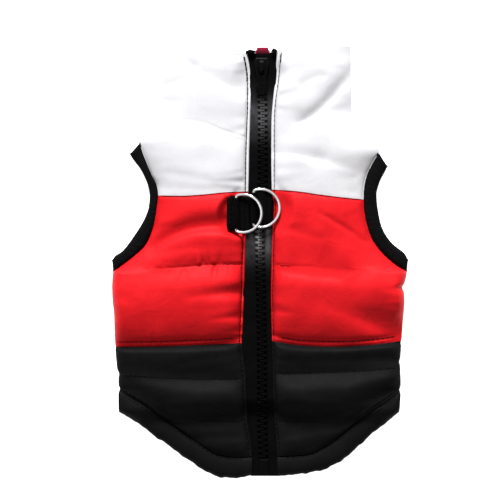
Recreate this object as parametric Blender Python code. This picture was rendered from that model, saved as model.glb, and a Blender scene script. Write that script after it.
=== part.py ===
"""A padded dog vest, laid flat with its back up and zipped along the back.

The vest is a flattened tube. The chest side lies on the floor with a plain flat
underside. The back side lies on it, quilted into padded rows, and its longer tail comes
down to the floor past the chest side's hem. Both sides meet along the side edges.

Axes: +X to the wearer's right in this view, +Y to the collar, +Z up from the floor.
The tables are in millimetres. Left and right differ, because soft cloth lies unevenly.
"""
import math

import bmesh
import bpy
import numpy as np

MM = 0.001

# Heights above the floor and thicknesses, mm.
LAYER_MEET = 4.6          # where chest side and back side meet, away from the edges
EDGE_MEET = 2.8           # the same, at the side edges
LAYER_GAP = 0.15          # each side stays this far from where they meet
SEAM_GAP = 0.2            # each panel stays this far from its seam line
ARMHOLE_GAP = 0.8         # panels stay this far from the armhole binding, along X
SEAM_THICK = 3.0          # a back panel at its seams
EDGE_THICK = 1.3          # a back panel at its side edge
CASING_THICK = 2.4        # the hem casing at its edges
CASING_CROWN = 1.6        # its extra thickness along its middle
LINING_THICK = 0.8
TAIL_SHELL = 1.1          # underside of the tail's shell, over its lining
TAIL_DROP = 12.0          # length over which the tail comes down to the floor
EDGE_ROUND = 10.0         # reach of the rounding at the side edges
ZIP_ROUND = 13.0          # reach of the rounding beside the zip
PUFF_PITCH = 34.0         # a row narrower than this is less puffed

# Zip, mm.
TAPE_THICK = 1.6
CHAIN_HALF = 3.0
CHAIN_HIGH = 2.6
CHAIN_FOOT = -117.6
BOX_TOP = -118.0
BOX_FOOT = -128.0
ZIP_TOP = 126.6
ZIP_FOOT = -128.4
SLIDER_Y = 117.5          # middle of the slider
SLIDER_LONG = 10.4
SLIDER_WIDE = 8.8
SLIDER_BOTTOM = 6.7
SLIDER_TOP = 8.6
SLIDER_PLAN = (           # its outline, as shares of its width and of half its length
    (-0.34, -1), (0.34, -1), (0.42, -0.2), (0.5, 0.5), (0.4, 1), (-0.4, 1), (-0.5, 0.5), (-0.42, -0.2),
)
BAIL_HALF = 1.1           # half the bail's width
BAIL_FOOT = 8.1           # height of its feet, sunk in the slider
BAIL_OUTER = ((-3.7, BAIL_FOOT), (-3.7, 10.6), (-2.6, 12), (2.3, 12), (3.4, 10.6), (3.4, BAIL_FOOT))
BAIL_INNER = ((2.4, BAIL_FOOT), (2.4, 10.4), (1.9, 11.1), (-2.2, 11.1), (-2.7, 10.4), (-2.7, BAIL_FOOT))
PULL_AXIS_Z = 10.15
PULL_THICK = 1.3
PULL_LONG = 16.5
PULL_TILT = 6.4           # degrees that the pull tab slopes down to the chain
PULL_RIM = (              # outline of the pull tab, and of its eye; its axis is at y 0
    (-2.6, 0.65), (2.6, 0.65), (2.9, 0.2), (2.9, -6), (3.3, -8), (3.3, -15), (2.2, -PULL_LONG),
    (-2.2, -PULL_LONG), (-3.3, -15), (-3.3, -8), (-2.9, -6), (-2.9, 0.2),
)
PULL_EYE = (
    (-1.7, -0.65), (1.7, -0.65), (1.7, -0.9), (1.7, -4.8), (1.3, -5.2), (0.6, -5.2), (0.2, -5.2),
    (-0.2, -5.2), (-0.6, -5.2), (-1.3, -5.2), (-1.7, -4.8), (-1.7, -0.9),
)

# Leash rings, mm. A ring is a wire circle with a straight bar across it.
WIRE = 0.8                # wire radius
RING_RADIUS = 11.4
RING_OFFSET = 4.5         # from the bar to the circle's centre
RING_CORNER = 0.35        # how far the ring's two corners are eased off the bar's line
TAB_THICK = 0.8
TAB_LAP = 0.7             # rise from one layer of webbing to the next, so that they join
LOOP_BORE = 1.05          # radius of the tab's loop round the bar
LOOP_HALF = 9.3           # half the loop's length along the bar, and of the webbing's width

RINGS = {
    # side: bar x, bar y, bar z, tilt in degrees
    "left": {"x": -14.2, "y": 29.5, "z": 10.5, "tilt": 13.5},
    "right": {"x": -3.8, "y": 32.7, "z": 9.55, "tilt": 0.0},
}

# Layers of the tabs, mm: flat pieces of webbing below and beside the loop.
TAB_LAYERS = {
    "left": {
        # layer: x from and to, half its width, radius of its left corners
        "under": (-19.6, -6.1, 10.6, 3.0),
        "over": (-19.4, -15.7, LOOP_HALF, 2.0),
    },
    "right": {
        "under": (-5.65, 7.4, LOOP_HALF, 1.0),
    },
}

# Heights of the seam lines at even steps from the zip to the side edge: quarters of the
# half for a plain line, eighths for a curved one.
SEAMS = {
    "collar_top": {"left": (125.2, 125.6, 126, 126.4, 124), "right": (127.6, 128, 129, 129.5, 130)},
    "neck": {"left": (74.8, 79.2, 84.7, 87, 87.5), "right": (75.8, 79.2, 82.5, 85.2, 87.5)},
    "chest": {"left": (42.8, 42.2, 40.8, 40.1, 40.4), "right": (43.9, 42.9, 40.9, 39.2, 37.9)},
    "ribs": {"left": (-0.5, 0.9, -2.2, -3.4, -5.5), "right": (-0.8, -2, -3.1, -3.6, -5.5)},
    "waist": {"left": (-48.1, -49, -49.8, -50.3, -50.5), "right": (-46.9, -49.7, -50.3, -49.3, -47)},
    "loin": {"left": (-69.8, -69.8, -69.2, -68.1, -66.8), "right": (-66.8, -66.3, -65.5, -64.2, -62.5)},
    "rump": {"left": (-95.5, -95, -95.3, -85.2, -74.3), "right": (-95.5, -95.5, -95.8, -87, -74.8)},
    "hem_stitch": {
        "left": (-116.5, -116.6, -115.2, -109.5, -102.3, -94.6, -87.9, -82.3, -76.5),
        "right": (-116.2, -115.9, -115, -111.2, -105.3, -98, -90.5, -84.8, -77),
    },
    "hem": {
        "left": (-127.9, -129.7, -129, -124.2, -117.6, -110.2, -103, -95.4, -89.5),
        "right": (-128.5, -127.7, -126.6, -124.7, -120.4, -113.6, -105, -97.6, -89.5),
    },
}

# Puff of each row above its seams, between two seam lines.
ROWS = {
    "collar": {"low": "neck", "high": "collar_top", "puff": 3.0, "steps": 8},
    "yoke": {"low": "chest", "high": "neck", "puff": 4.8, "steps": 8},
    "ribs_up": {"low": "ribs", "high": "chest", "puff": 6.8, "steps": 8},
    "waist_up": {"low": "waist", "high": "ribs", "puff": 7.2, "steps": 9},
    "loin_up": {"low": "loin", "high": "waist", "puff": 6.6, "steps": 6},
    "rump_up": {"low": "rump", "high": "loin", "puff": 6.2, "steps": 6},
    "tail": {"low": "hem_stitch", "high": "rump", "puff": 5.6, "steps": 5},
}

# Back panels, each with its rows from low to high.
BACK_PANELS = {
    "collar_back": {"rows": ("collar",), "cloth": "white_shell"},
    "yoke": {"rows": ("yoke",), "cloth": "white_shell"},
    "middle": {"rows": ("waist_up", "ribs_up"), "cloth": "red_shell"},
    "lower": {"rows": ("tail", "rump_up", "loin_up"), "cloth": "black_shell"},
}

# Side edges of the vest: the fold of the tube, or the inner line of an armhole binding.
SIDE_EDGES = {
    # y: (left x, right x)
    130: (-59.7, 54.9),
    98: (-60.9, 55.2),
    89: (-63.4, 56.0),
    82.5: (-66.3, 61.0),
    77: (-69.2, 65.2),
    72.6: (-71.5, 68.2),
    67: (-70.1, 71.0),
    60: (-67.4, 67.4),
    53.3: (-64.7, 64.2),
    46.7: (-61.6, 62.5),
    40.5: (-60.5, 62.0),
    34: (-61.3, 62.0),
    27.5: (-62.1, 62.8),
    21.3: (-63.4, 64.4),
    15.3: (-66.0, 66.5),
    8.7: (-70.0, 70.7),
    3: (-76.0, 76.0),
    -2: (-82.7, 82.1),
    -4: (-85.8, 86.0),
    -5.5: (-87.9, 88.4),
    -15: (-88.6, 86.8),
    -24: (-88.2, 87.1),
    -36: (-87.3, 86.1),
    -50: (-86.7, 85.2),
    -61: (-85.8, 84.5),
    -72: (-84.7, 84.9),
    -89.5: (-84.6, 84.0),
}

# Edges of the back panels beside the zip, and the middle of the zip's chain.
ZIP_EDGES = {
    # y: (left x, chain x, right x)
    127.6: (-7.8, 0.9, 10.5),
    110: (-5.1, 1.4, 9.3),
    83: (-5.7, 1.9, 7.1),
    66: (-6.2, 1.9, 7.0),
    44: (-6.6, 1.8, 7.3),
    34: (-7.1, 1.6, 8.7),
    12: (-8.4, 1.5, 7.5),
    -20: (-9.3, 1.4, 6.9),
    -49: (-10.2, 1.4, 7.5),
    -70: (-8.1, 1.5, 7.9),
    -94: (-7.2, 1.6, 8.8),
    -115: (-4.5, 2.4, 10.5),
    -129: (-4.5, 2.9, 11.1),
}

# Stations of the armhole bindings, from the shoulder to the underarm. The inner point
# lies on the side edge at inner_y; the outer point is given.
ARMHOLES = {
    "left": {
        "inner_y": (70, 66, 60, 53.3, 46.7, 40.5, 34, 27.5, 21.3, 15.3, 8.7, 3, -0.6, -3.1),
        "outer_x": (-75.9, -74.3, -71.9, -69.2, -67, -66, -66.7, -68.9, -71.4, -75.5, -79.4, -82.8, -84.9, -85.6),
        "outer_y": (63, 60.4, 56.8, 51.8, 46.2, 40, 33.2, 26.6, 22, 16, 10.3, 6.6, 4.9, 2),
        "top_turn": (-0.77, 0.63),
    },
    "right": {
        "inner_y": (65.2, 61.3, 55.3, 49, 42.3, 36.3, 30.3, 24, 18.3, 12.3, 6.3, 1.7, -0.8, -3.1),
        "outer_x": (74.5, 74.3, 72.6, 71.2, 70.3, 70.7, 71.5, 72.6, 74, 76, 78.4, 82.3, 84.8, 86.6),
        "outer_y": (56.2, 53, 49.4, 45.4, 41, 35.6, 30, 24.8, 20.4, 16.5, 13, 9.5, 7.2, 3),
        "top_turn": (0.87, 0.5),
    },
}
TURN_RADIUS = 2.8         # a binding's thickness below and beyond the layers' meeting
BAND_TOP = 3.2            # its height above the meeting, along its middle
BAND_RIM = 2.0            # the same, at its rims
BAND_STATIONS = 22        # stations along each run of a binding

# Seam heights of the chest side at even steps from the left edge to the right.
CHEST_SEAMS = {
    "throat_top": (122, 123, 123.6, 124, 127.8, 127.4, 127, 126.8, 126.5),
    "throat": (86, 84, 83, 84, 86),
    "chest": (40.4, 39, 38.5, 38.6, 37.9),
    "waist": (-50.5, -51, -51, -50, -47),
    "belly_stitch": (-78.5, -73.5, -71.5, -73.5, -78.5),
    "belly_hem": (-88, -82.5, -80.5, -82.5, -88),
}
CHEST_PANELS = {
    "collar_throat": {"low": "throat", "high": "throat_top", "cloth": "white_shell", "steps": 5},
    "chest_yoke": {"low": "chest", "high": "throat", "cloth": "white_shell", "steps": 7},
    "chest_middle": {"low": "waist", "high": "chest", "cloth": "red_shell", "steps": 18},
    "belly": {"low": "belly_stitch", "high": "waist", "cloth": "black_shell", "steps": 3},
    "belly_hem": {"low": "belly_hem", "high": "belly_stitch", "cloth": "black_shell", "steps": 2},
}

# Largest soft folds of the back side: from one end to the other, depth and half width.
FOLDS = {
    "collar_right_upper": (54.3, 114.5, 25.5, 87.5, 1.9, 4.0),
    "collar_right_lower": (25.5, 88.0, 54.5, 91.5, 1.5, 3.6),
    "collar_left_high": (-48.9, 126.0, -36.0, 118.5, 1.0, 4.5),
    "collar_left_low": (-36.0, 118.5, -11.7, 100.7, 1.2, 4.5),
    "yoke_right": (12.3, 67.0, 52.0, 62.0, 1.2, 4.0),
    "yoke_left": (-59.7, 55.0, -9.3, 50.5, 1.2, 4.0),
    "ribs_left_outer": (-65.7, 12.5, -47.7, 25.7, 2.0, 5.0),
    "ribs_left_inner": (-47.7, 25.7, -21.3, 26.9, 1.6, 5.0),
    "ribs_right": (36.3, 28.7, 66.3, 10.7, 1.3, 5.0),
    "waist_left_high": (-10.5, -10.4, -47.7, -17.6, 1.7, 4.0),
    "waist_left_low": (-10.7, -28.4, -30.0, -31.5, 1.4, 4.0),
    "waist_right": (57.9, -24.8, 84.3, -35.5, 1.6, 4.0),
    "tail_right": (20.0, -82.0, 45.0, -80.0, 1.2, 4.0),
}

# Places where a sewn tab or a lying ring flattens the padding: x and y from and to,
# and the thickness that it leaves.
BEDS = {
    "left_tab": (-22.0, -6.0, 15.5, 43.5, 3.4),
    "right_ring": (6.0, 14.5, 18.5, 47.0, 3.5),
}
BED_FADE = 5.0

COLUMNS = 16              # columns of a back panel between the zip and the side
CHEST_COLUMNS = 12        # columns of a chest panel

FINISHES = {
    # name: base colour, roughness, metallic
    "white_shell": ((0.86, 0.86, 0.88, 1), 0.55, 0),
    "red_shell": ((0.86, 0.02, 0.03, 1), 0.45, 0),
    "black_shell": ((0.012, 0.012, 0.013, 1), 0.6, 0),
    "crimson_lining": ((0.5, 0.01, 0.06, 1), 0.6, 0),
    "black_binding": ((0.01, 0.01, 0.011, 1), 0.8, 0),
    "black_webbing": ((0.01, 0.01, 0.011, 1), 0.75, 0),
    "zip_tape": ((0.01, 0.01, 0.011, 1), 0.8, 0),
    "zip_plastic": ((0.015, 0.015, 0.016, 1), 0.35, 0),
    "black_lacquer": ((0.02, 0.02, 0.022, 1), 0.25, 0.6),
    "chrome": ((0.82, 0.82, 0.84, 1), 0.08, 1),
}


def curve(xs, ys):
    """Smooth function through the points, xs rising, without overshoot; flat beyond."""
    xs = np.asarray(xs, float)
    ys = np.asarray(ys, float)
    rise = np.diff(ys) / np.diff(xs)
    slope = np.concatenate(([rise[0]], np.zeros(len(xs) - 2), [rise[-1]]))
    low, high = rise[:-1], rise[1:]
    same = low * high > 0
    slope[1:-1][same] = 2 * low[same] * high[same] / (low[same] + high[same])

    def value(x):
        x = np.clip(x, xs[0], xs[-1])
        i = np.clip(np.searchsorted(xs, x) - 1, 0, len(xs) - 2)
        width = xs[i + 1] - xs[i]
        t = (x - xs[i]) / width
        start = (1 + 2 * t) * (1 - t) ** 2 * ys[i] + t * (1 - t) ** 2 * width * slope[i]
        end = t * t * (3 - 2 * t) * ys[i + 1] - t * t * (1 - t) * width * slope[i + 1]
        return start + end

    return value


def even_curve(ys):
    """Smooth function through values at even steps from 0 to 1."""
    return curve(np.linspace(0, 1, len(ys)), ys)


def column_curve(table, column):
    """Curve through one column of a table whose keys are heights."""
    keys = sorted(table)
    return curve(keys, [table[key][column] for key in keys])


SIDE_X = {"left": column_curve(SIDE_EDGES, 0), "right": column_curve(SIDE_EDGES, 1)}
ZIP_X = {"left": column_curve(ZIP_EDGES, 0), "right": column_curve(ZIP_EDGES, 2)}
CHAIN_X = column_curve(ZIP_EDGES, 1)
OUT = {"left": -1, "right": 1}


def smooth(t):
    """0 below 0, 1 above 1, and an even S between them."""
    t = np.clip(t, 0, 1)
    return t * t * (3 - 2 * t)


def round_off(distance, reach):
    """Quarter circle: 0 at an edge, 1 from the reach inwards."""
    t = 1 - np.clip(distance / reach, 0, 1)
    return np.sqrt(1 - t * t)


def armhole_inset(y):
    """How far a panel keeps off the binding: only between shoulder and underarm."""
    return ARMHOLE_GAP * smooth((72.5 - y) / 1.5) * smooth((y + 6.5) / 1.5)


def panel_edge(side, y):
    """Side edge of the panels, clear of the armhole binding."""
    return SIDE_X[side](y) - OUT[side] * armhole_inset(y)


def belly_hem_y(x):
    """Height of the chest side's hem, under the back."""
    across = (x - SIDE_X["left"](-88.0)) / (SIDE_X["right"](-88.0) - SIDE_X["left"](-88.0))
    return even_curve(CHEST_SEAMS["belly_hem"])(across)


def meeting(x, y):
    """Height where the two sides of the vest meet, sinking towards the side edges."""
    inside = np.minimum(x - SIDE_X["left"](y), SIDE_X["right"](y) - x)
    return EDGE_MEET + (LAYER_MEET - EDGE_MEET) * round_off(inside, EDGE_ROUND)


def back_underside(x, y, tail_z):
    """Plain inside of the back: on the chest side, then down to tail_z on the tail."""
    over = meeting(x, y) + LAYER_GAP
    return over + (tail_z - over) * smooth((belly_hem_y(x) - y) / TAIL_DROP)


def fold_depth(x, y):
    """Sum of the soft troughs, each fading across its width and towards its ends."""
    depth = np.zeros_like(x)
    for x0, y0, x1, y1, deep, wide in FOLDS.values():
        along = np.array((x1 - x0, y1 - y0))
        t = ((x - x0) * along[0] + (y - y0) * along[1]) / along.dot(along)
        near = np.clip(t, 0, 1)
        away = np.hypot(x - x0 - near * along[0], y - y0 - near * along[1])
        depth += deep * np.exp(-((away / wide) ** 2))
    return depth


def pressed(x, y, thick):
    """The thickness where tabs and rings press the padding, fading out around them."""
    for x0, x1, y0, y1, left in BEDS.values():
        beside = np.maximum(np.maximum(x0 - x, x - x1), 0)
        past = np.maximum(np.maximum(y0 - y, y - y1), 0)
        share = 1 - smooth(np.hypot(beside, past) / BED_FADE)
        thick = thick + (np.minimum(left, thick) - thick) * share
    return thick


def back_thickness(side, x, y, v, puff, row_height):
    """Thickness of a padded row: seam thickness, puff across the row, folds and beds."""
    from_side = np.abs(panel_edge(side, y) - x)
    from_zip = np.abs(x - ZIP_X[side](y))
    rim = EDGE_THICK + (SEAM_THICK - EDGE_THICK) * round_off(from_side, EDGE_ROUND)
    rise = np.sin(np.pi * np.clip(v, 0, 1)) ** 0.7
    full = puff * np.minimum(1, row_height / PUFF_PITCH)
    loft = full * rise * round_off(from_side, 2 * EDGE_ROUND) * smooth(from_zip / ZIP_ROUND + 0.1)
    loft = np.maximum(loft - fold_depth(x, y) * np.minimum(1, loft / 2), -0.4)
    return pressed(x, y, rim + loft)


def spread(count):
    """Fractions from 0 to 1, closer together at both ends."""
    even = np.linspace(0, 1, count + 1)
    return 0.45 * even + 0.55 * (1 - np.cos(np.pi * even)) / 2


def half_points(side, y, u):
    """X of points at the share u of the way from the zip to the side edge."""
    return ZIP_X[side](y) + u * (panel_edge(side, y) - ZIP_X[side](y))


def seam_line(name, side, u):
    return even_curve(SEAMS[name][side])(u)


def back_panel(side, rows):
    """Top and underside grids of a back panel, row by row from low to high."""
    u = spread(COLUMNS)
    tops, floors = [], []
    for name in rows:
        row = ROWS[name]
        low = seam_line(row["low"], side, u) + (SEAM_GAP if name == rows[0] else 0)
        high = seam_line(row["high"], side, u) - (SEAM_GAP if name == rows[-1] else 0)
        fractions = spread(row["steps"])
        if name != rows[-1]:
            fractions = fractions[:-1]
        for v in fractions:
            y = low + v * (high - low)
            x = half_points(side, y, u)
            under = back_underside(x, y, TAIL_SHELL)
            thick = back_thickness(side, x, y, v + 0 * u, row["puff"], high - low)
            tops.append(np.stack((x, y, under + thick), axis=-1))
            floors.append(np.stack((x, y, under), axis=-1))
    return np.array(tops), np.array(floors)


def hem_casing(side):
    """Grids of the folded hem along the tail: a low round welt outside its stitch line."""
    u = spread(COLUMNS)
    low = seam_line("hem", side, u)
    high = seam_line("hem_stitch", side, u) - 2 * SEAM_GAP
    tops, floors = [], []
    for v in (0, 0.12, 0.35, 0.65, 0.9, 1):
        y = low + v * (high - low)
        x = half_points(side, y, u)
        under = back_underside(x, y, 0)
        crown = CASING_CROWN * math.sin(math.pi * v) ** 0.6
        tops.append(np.stack((x, y, under + CASING_THICK + crown), axis=-1))
        floors.append(np.stack((x, y, under), axis=-1))
    return np.array(tops), np.array(floors)


def chest_panel(low, high, steps):
    """Grids of a chest-side panel: flat below, and up to where the two sides meet."""
    across = spread(CHEST_COLUMNS)
    low_y = even_curve(CHEST_SEAMS[low])(across) + SEAM_GAP
    high_y = even_curve(CHEST_SEAMS[high])(across) - SEAM_GAP
    tops, floors = [], []
    for v in np.linspace(0, 1, steps + 1):
        y = low_y + v * (high_y - low_y)
        left, right = panel_edge("left", y), panel_edge("right", y)
        x = left + across * (right - left)
        top = meeting(x, y) - LAYER_GAP
        if high == "throat_top":
            top = top - LINING_THICK - 2 * LAYER_GAP
        if low == "belly_hem":
            top = top - 1.2 * (1 - v)
        tops.append(np.stack((x, y, top), axis=-1))
        floors.append(np.stack((x, y, 0 * y), axis=-1))
    return np.array(tops), np.array(floors)


def collar_lining():
    """Grids of the thin lining that lies on the throat half of the collar."""
    across = np.linspace(0.02, 0.98, CHEST_COLUMNS + 1)
    low_y = even_curve(CHEST_SEAMS["throat"])(across) + 1.0
    high_y = even_curve(CHEST_SEAMS["throat_top"])(across) - 0.6
    tops, floors = [], []
    for v in np.linspace(0, 1, 6):
        y = low_y + v * (high_y - low_y)
        left, right = SIDE_X["left"](y), SIDE_X["right"](y)
        x = left + across * (right - left)
        top = meeting(x, y) - LAYER_GAP
        tops.append(np.stack((x, y, top), axis=-1))
        floors.append(np.stack((x, y, top - LINING_THICK), axis=-1))
    return np.array(tops), np.array(floors)


def tail_lining(side):
    """Grids of the tail's lining, flat on the floor between its hem and the belly's."""
    u = np.linspace(0, 0.74, 11)
    low_y = seam_line("hem_stitch", side, u) + 1.5 * SEAM_GAP
    x = half_points(side, low_y, u)
    high_y = belly_hem_y(x) - 2 * SEAM_GAP
    tops, floors = [], []
    for v in np.linspace(0, 1, 4):
        y = low_y + v * (high_y - low_y)
        x = half_points(side, y, u) + OUT[side] * SEAM_GAP * (1 - u)
        tops.append(np.stack((x, y, 0 * y + LINING_THICK), axis=-1))
        floors.append(np.stack((x, y, 0 * y), axis=-1))
    return np.array(tops), np.array(floors)


def zip_stations(low, high, count):
    """Heights along the zip, and the X of the chain's middle there."""
    y = np.linspace(low, high, count)
    return y, CHAIN_X(y)


def zip_tape(side):
    """Grids of one tape: from beside the chain to the panel's edge."""
    y, chain = zip_stations(ZIP_FOOT, ZIP_TOP, 34)
    inner = chain + OUT[side] * (CHAIN_HALF + 0.3)
    outer = ZIP_X[side](y) - OUT[side] * 0.35
    tops, floors = [], []
    for share in (0, 0.5, 1):
        x = inner + share * (outer - inner)
        under = back_underside(x, y, 0)
        tops.append(np.stack((x, y, under + TAPE_THICK - 0.3 * (1 - share)), axis=-1))
        floors.append(np.stack((x, y, under), axis=-1))
    return np.array(tops), np.array(floors)


def zip_chain():
    """Grids of the closed chain of teeth as one bar with bevelled sides."""
    low, high = CHAIN_FOOT, SLIDER_Y - SLIDER_LONG / 2 - 0.3
    y, chain = zip_stations(low, high, 34)
    tops, floors = [], []
    for share, height in ((-1, 1.2), (-0.62, CHAIN_HIGH), (0.62, CHAIN_HIGH), (1, 1.2)):
        x = chain + share * CHAIN_HALF
        under = back_underside(chain, y, 0)
        tops.append(np.stack((x, y, under + height), axis=-1))
        floors.append(np.stack((x, y, under), axis=-1))
    return np.array(tops), np.array(floors)


def slab(tops, floors):
    """Closed body between two grids of points with the same rims."""
    rows, columns = tops.shape[:2]
    count = rows * columns
    points = np.concatenate((tops.reshape(-1, 3), floors.reshape(-1, 3)))
    index = np.arange(count).reshape(rows, columns)
    corners = (index[:-1, :-1], index[:-1, 1:], index[1:, 1:], index[1:, :-1])
    upper = np.stack(corners, axis=-1).reshape(-1, 4)
    lower = upper[:, ::-1] + count
    ring = np.concatenate((index[0, :-1], index[:-1, -1], index[-1, :0:-1], index[:0:-1, 0]))
    following = np.roll(ring, -1)
    wall = np.stack((ring, ring + count, following + count, following), axis=-1)
    return points, np.concatenate((upper, lower, wall))


def make_object(name, points, faces, finish, origin=(0, 0, 0)):
    """New object from points in mm, with its origin at the given point."""
    mesh = bpy.data.meshes.new(name)
    shifted = (np.asarray(points, float) - np.array(origin)) * MM
    mesh.from_pydata(shifted.tolist(), [], [list(map(int, face)) for face in faces])
    body = bmesh.new()
    body.from_mesh(mesh)
    bmesh.ops.recalc_face_normals(body, faces=body.faces)
    body.to_mesh(mesh)
    body.free()
    mesh.shade_smooth()
    mesh.set_sharp_from_angle(angle=math.radians(50))
    thing = bpy.data.objects.new(name, mesh)
    thing.location = [value * MM for value in origin]
    thing.data.materials.append(material(finish))
    bpy.context.collection.objects.link(thing)
    return thing


def material(finish):
    """The finish's material, made once."""
    made = bpy.data.materials.get(finish)
    if made:
        return made
    made = bpy.data.materials.new(finish)
    made.use_nodes = True
    colour, roughness, metallic = FINISHES[finish]
    shader = made.node_tree.nodes["Principled BSDF"]
    shader.inputs["Base Color"].default_value = colour
    shader.inputs["Roughness"].default_value = roughness
    shader.inputs["Metallic"].default_value = metallic
    return made


def tube(sections, closed):
    """Body swept through sections, each an array of points already in place."""
    count, sides = len(sections), len(sections[0])
    index = np.arange(count * sides).reshape(count, sides)
    if closed:
        index = np.vstack((index, index[:1]))
    around = np.roll(index, -1, axis=1)
    quads = np.stack((index[:-1], around[:-1], around[1:], index[1:]), axis=-1).reshape(-1, 4)
    faces = [list(quad) for quad in quads]
    if not closed:
        faces += [list(index[0]), list(index[-1][::-1])]
    return np.concatenate(sections), faces


def armhole_binding(side):
    """Closed band: over the back side, round at the shoulder, under, and round again."""
    rows = ARMHOLES[side]
    given = np.arange(len(rows["inner_y"]))
    along = np.linspace(0, given[-1], BAND_STATIONS)
    inner_y = curve(given, rows["inner_y"])(along)
    inner = np.stack((SIDE_X[side](inner_y), inner_y), axis=-1)
    outer = np.stack((curve(given, rows["outer_x"])(along), curve(given, rows["outer_y"])(along)), axis=-1)
    last = len(inner) - 1
    turns = {0: np.array(rows["top_turn"]), last: np.array((OUT[side], 0.0))}
    stations = [(i, 0.0) for i in range(last + 1)]
    stations += [(last, angle) for angle in (45.0, 90.0, 135.0)]
    stations += [(i, 180.0) for i in range(last, -1, -1)]
    stations += [(0, angle) for angle in (135.0, 90.0, 45.0)]
    sections = []
    for i, angle in stations:
        lift = math.cos(math.radians(angle))
        reach = math.sin(math.radians(angle))
        turn = turns.get(i, np.zeros(2))
        over = (1 + lift) / 2
        section = []
        for share, crown in ((0, 0), (0.15, 0.7), (0.5, 1), (0.85, 0.7), (1, 0)):
            upper = BAND_RIM + (BAND_TOP - BAND_RIM) * crown
            radius = TURN_RADIUS + (upper - TURN_RADIUS) * over * abs(lift)
            section.append(band_point(inner[i], outer[i], share, turn, reach, lift, radius))
        for share in (1, 0.5, 0):
            section.append(band_point(inner[i], outer[i], share, turn, reach, lift, LAYER_GAP))
        sections.append(np.array(section))
    return tube(sections, True)


def band_point(inner, outer, share, turn, reach, lift, radius):
    """Point across a binding's width, at a radius from the line where the layers meet."""
    flat = inner + share * (outer - inner) + turn * reach * radius
    return np.array((flat[0], flat[1], EDGE_MEET + lift * radius))


def ring_path():
    """Centre line of a leash ring in its own plane: bar at x 0, circle beyond it."""
    start = math.pi - math.acos(RING_OFFSET / RING_RADIUS)
    angles = np.linspace(-start, start, 27)
    arc = np.stack((RING_OFFSET + RING_RADIUS * np.cos(angles), RING_RADIUS * np.sin(angles)), axis=-1)
    arc[[0, -1], 0] += RING_CORNER
    half_bar = RING_RADIUS * math.sin(start)
    bar = np.array([(0.0, y) for y in np.linspace(half_bar, -half_bar, 5)[1:-1]])
    return np.concatenate((arc, bar))


def leash_ring(side):
    """Wire ring, hinged on its bar and tilted as it lies."""
    place = RINGS[side]
    path = ring_path()
    ahead = np.roll(path, -1, axis=0) - np.roll(path, 1, axis=0)
    ahead /= np.linalg.norm(ahead, axis=1)[:, None]
    tilt = math.radians(place["tilt"])
    sections = []
    for (x, y), (tx, ty) in zip(path, ahead):
        section = []
        for k in range(8):
            angle = 2 * math.pi * (k + 0.5) / 8
            away = WIRE * math.cos(angle)
            lift = WIRE * math.sin(angle)
            flat = x + ty * away
            section.append((
                place["x"] + flat * math.cos(tilt) - lift * math.sin(tilt),
                place["y"] + y - tx * away,
                place["z"] + flat * math.sin(tilt) + lift * math.cos(tilt),
            ))
        sections.append(np.array(section))
    points, faces = tube(sections, True)
    return points, faces, (place["x"], place["y"], place["z"])


def circle(radius, count=16):
    """Points of a circle in the XZ plane."""
    angles = np.radians(np.linspace(-90, 270, count, endpoint=False))
    return np.stack((radius * np.cos(angles), radius * np.sin(angles)), axis=-1)


def webbing_loop(name, side):
    """Webbing tube round the ring's bar, open at both ends."""
    place = RINGS[side]
    outer = circle(LOOP_BORE + TAB_THICK)
    inner = circle(LOOP_BORE)
    sections = []
    for profile, y in ((outer, -1), (outer, 1), (inner, 1), (inner, -1)):
        section = [(place["x"] + px, place["y"] + y * LOOP_HALF, place["z"] + pz) for px, pz in profile]
        sections.append(np.array(section))
    points, faces = tube(sections, True)
    return make_object(name, points, faces, "black_webbing")


def tab_layer(side, layer, level):
    """Flat layer of webbing with two rounded corners; level 0 is the lowest."""
    place = RINGS[side]
    left, right, half_wide, corner = TAB_LAYERS[side][layer]
    outline = [(right, -half_wide), (right, half_wide)]
    for first, centre_y in ((90, half_wide - corner), (180, corner - half_wide)):
        for step in range(4):
            angle = math.radians(first + 30 * step)
            outline.append((left + corner * (1 + math.cos(angle)), centre_y + corner * math.sin(angle)))
    low = place["z"] - LOOP_BORE - TAB_THICK
    bottom = np.array([(x, place["y"] + y, low + level * TAB_LAP) for x, y in outline])
    return tube([bottom, bottom + (0, 0, TAB_THICK)], False)


def join(base, extra):
    """Boolean union of extra into base; extra stays as a guide that isn't built."""
    union = base.modifiers.new("union", "BOOLEAN")
    union.operation = "UNION"
    union.solver = "EXACT"
    union.object = extra
    extra.hide_render = True
    extra.display_type = "WIRE"


def ring_tab(side):
    """A tab: its flat layers with the loop round the ring's bar."""
    tab = make_object("ring_tab_" + side, *tab_layer(side, "under", 0), "black_webbing")
    join(tab, webbing_loop("ring_loop_" + side, side))
    if "over" in TAB_LAYERS[side]:
        join(tab, make_object("ring_lap_" + side, *tab_layer(side, "over", 1), "black_webbing"))


def box_points(low, high):
    return [(x, y, z) for z in (low[2], high[2]) for x, y in (
        (low[0], low[1]), (high[0], low[1]), (high[0], high[1]), (low[0], high[1]))]


BOX_FACES = ((0, 3, 2, 1), (4, 5, 6, 7), (0, 1, 5, 4), (1, 2, 6, 5), (2, 3, 7, 6), (3, 0, 4, 7))


def bevelled(thing, width):
    bevel = thing.modifiers.new("bevel", "BEVEL")
    bevel.width = width * MM
    bevel.segments = 2
    bevel.limit_method = "ANGLE"
    return thing


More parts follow.
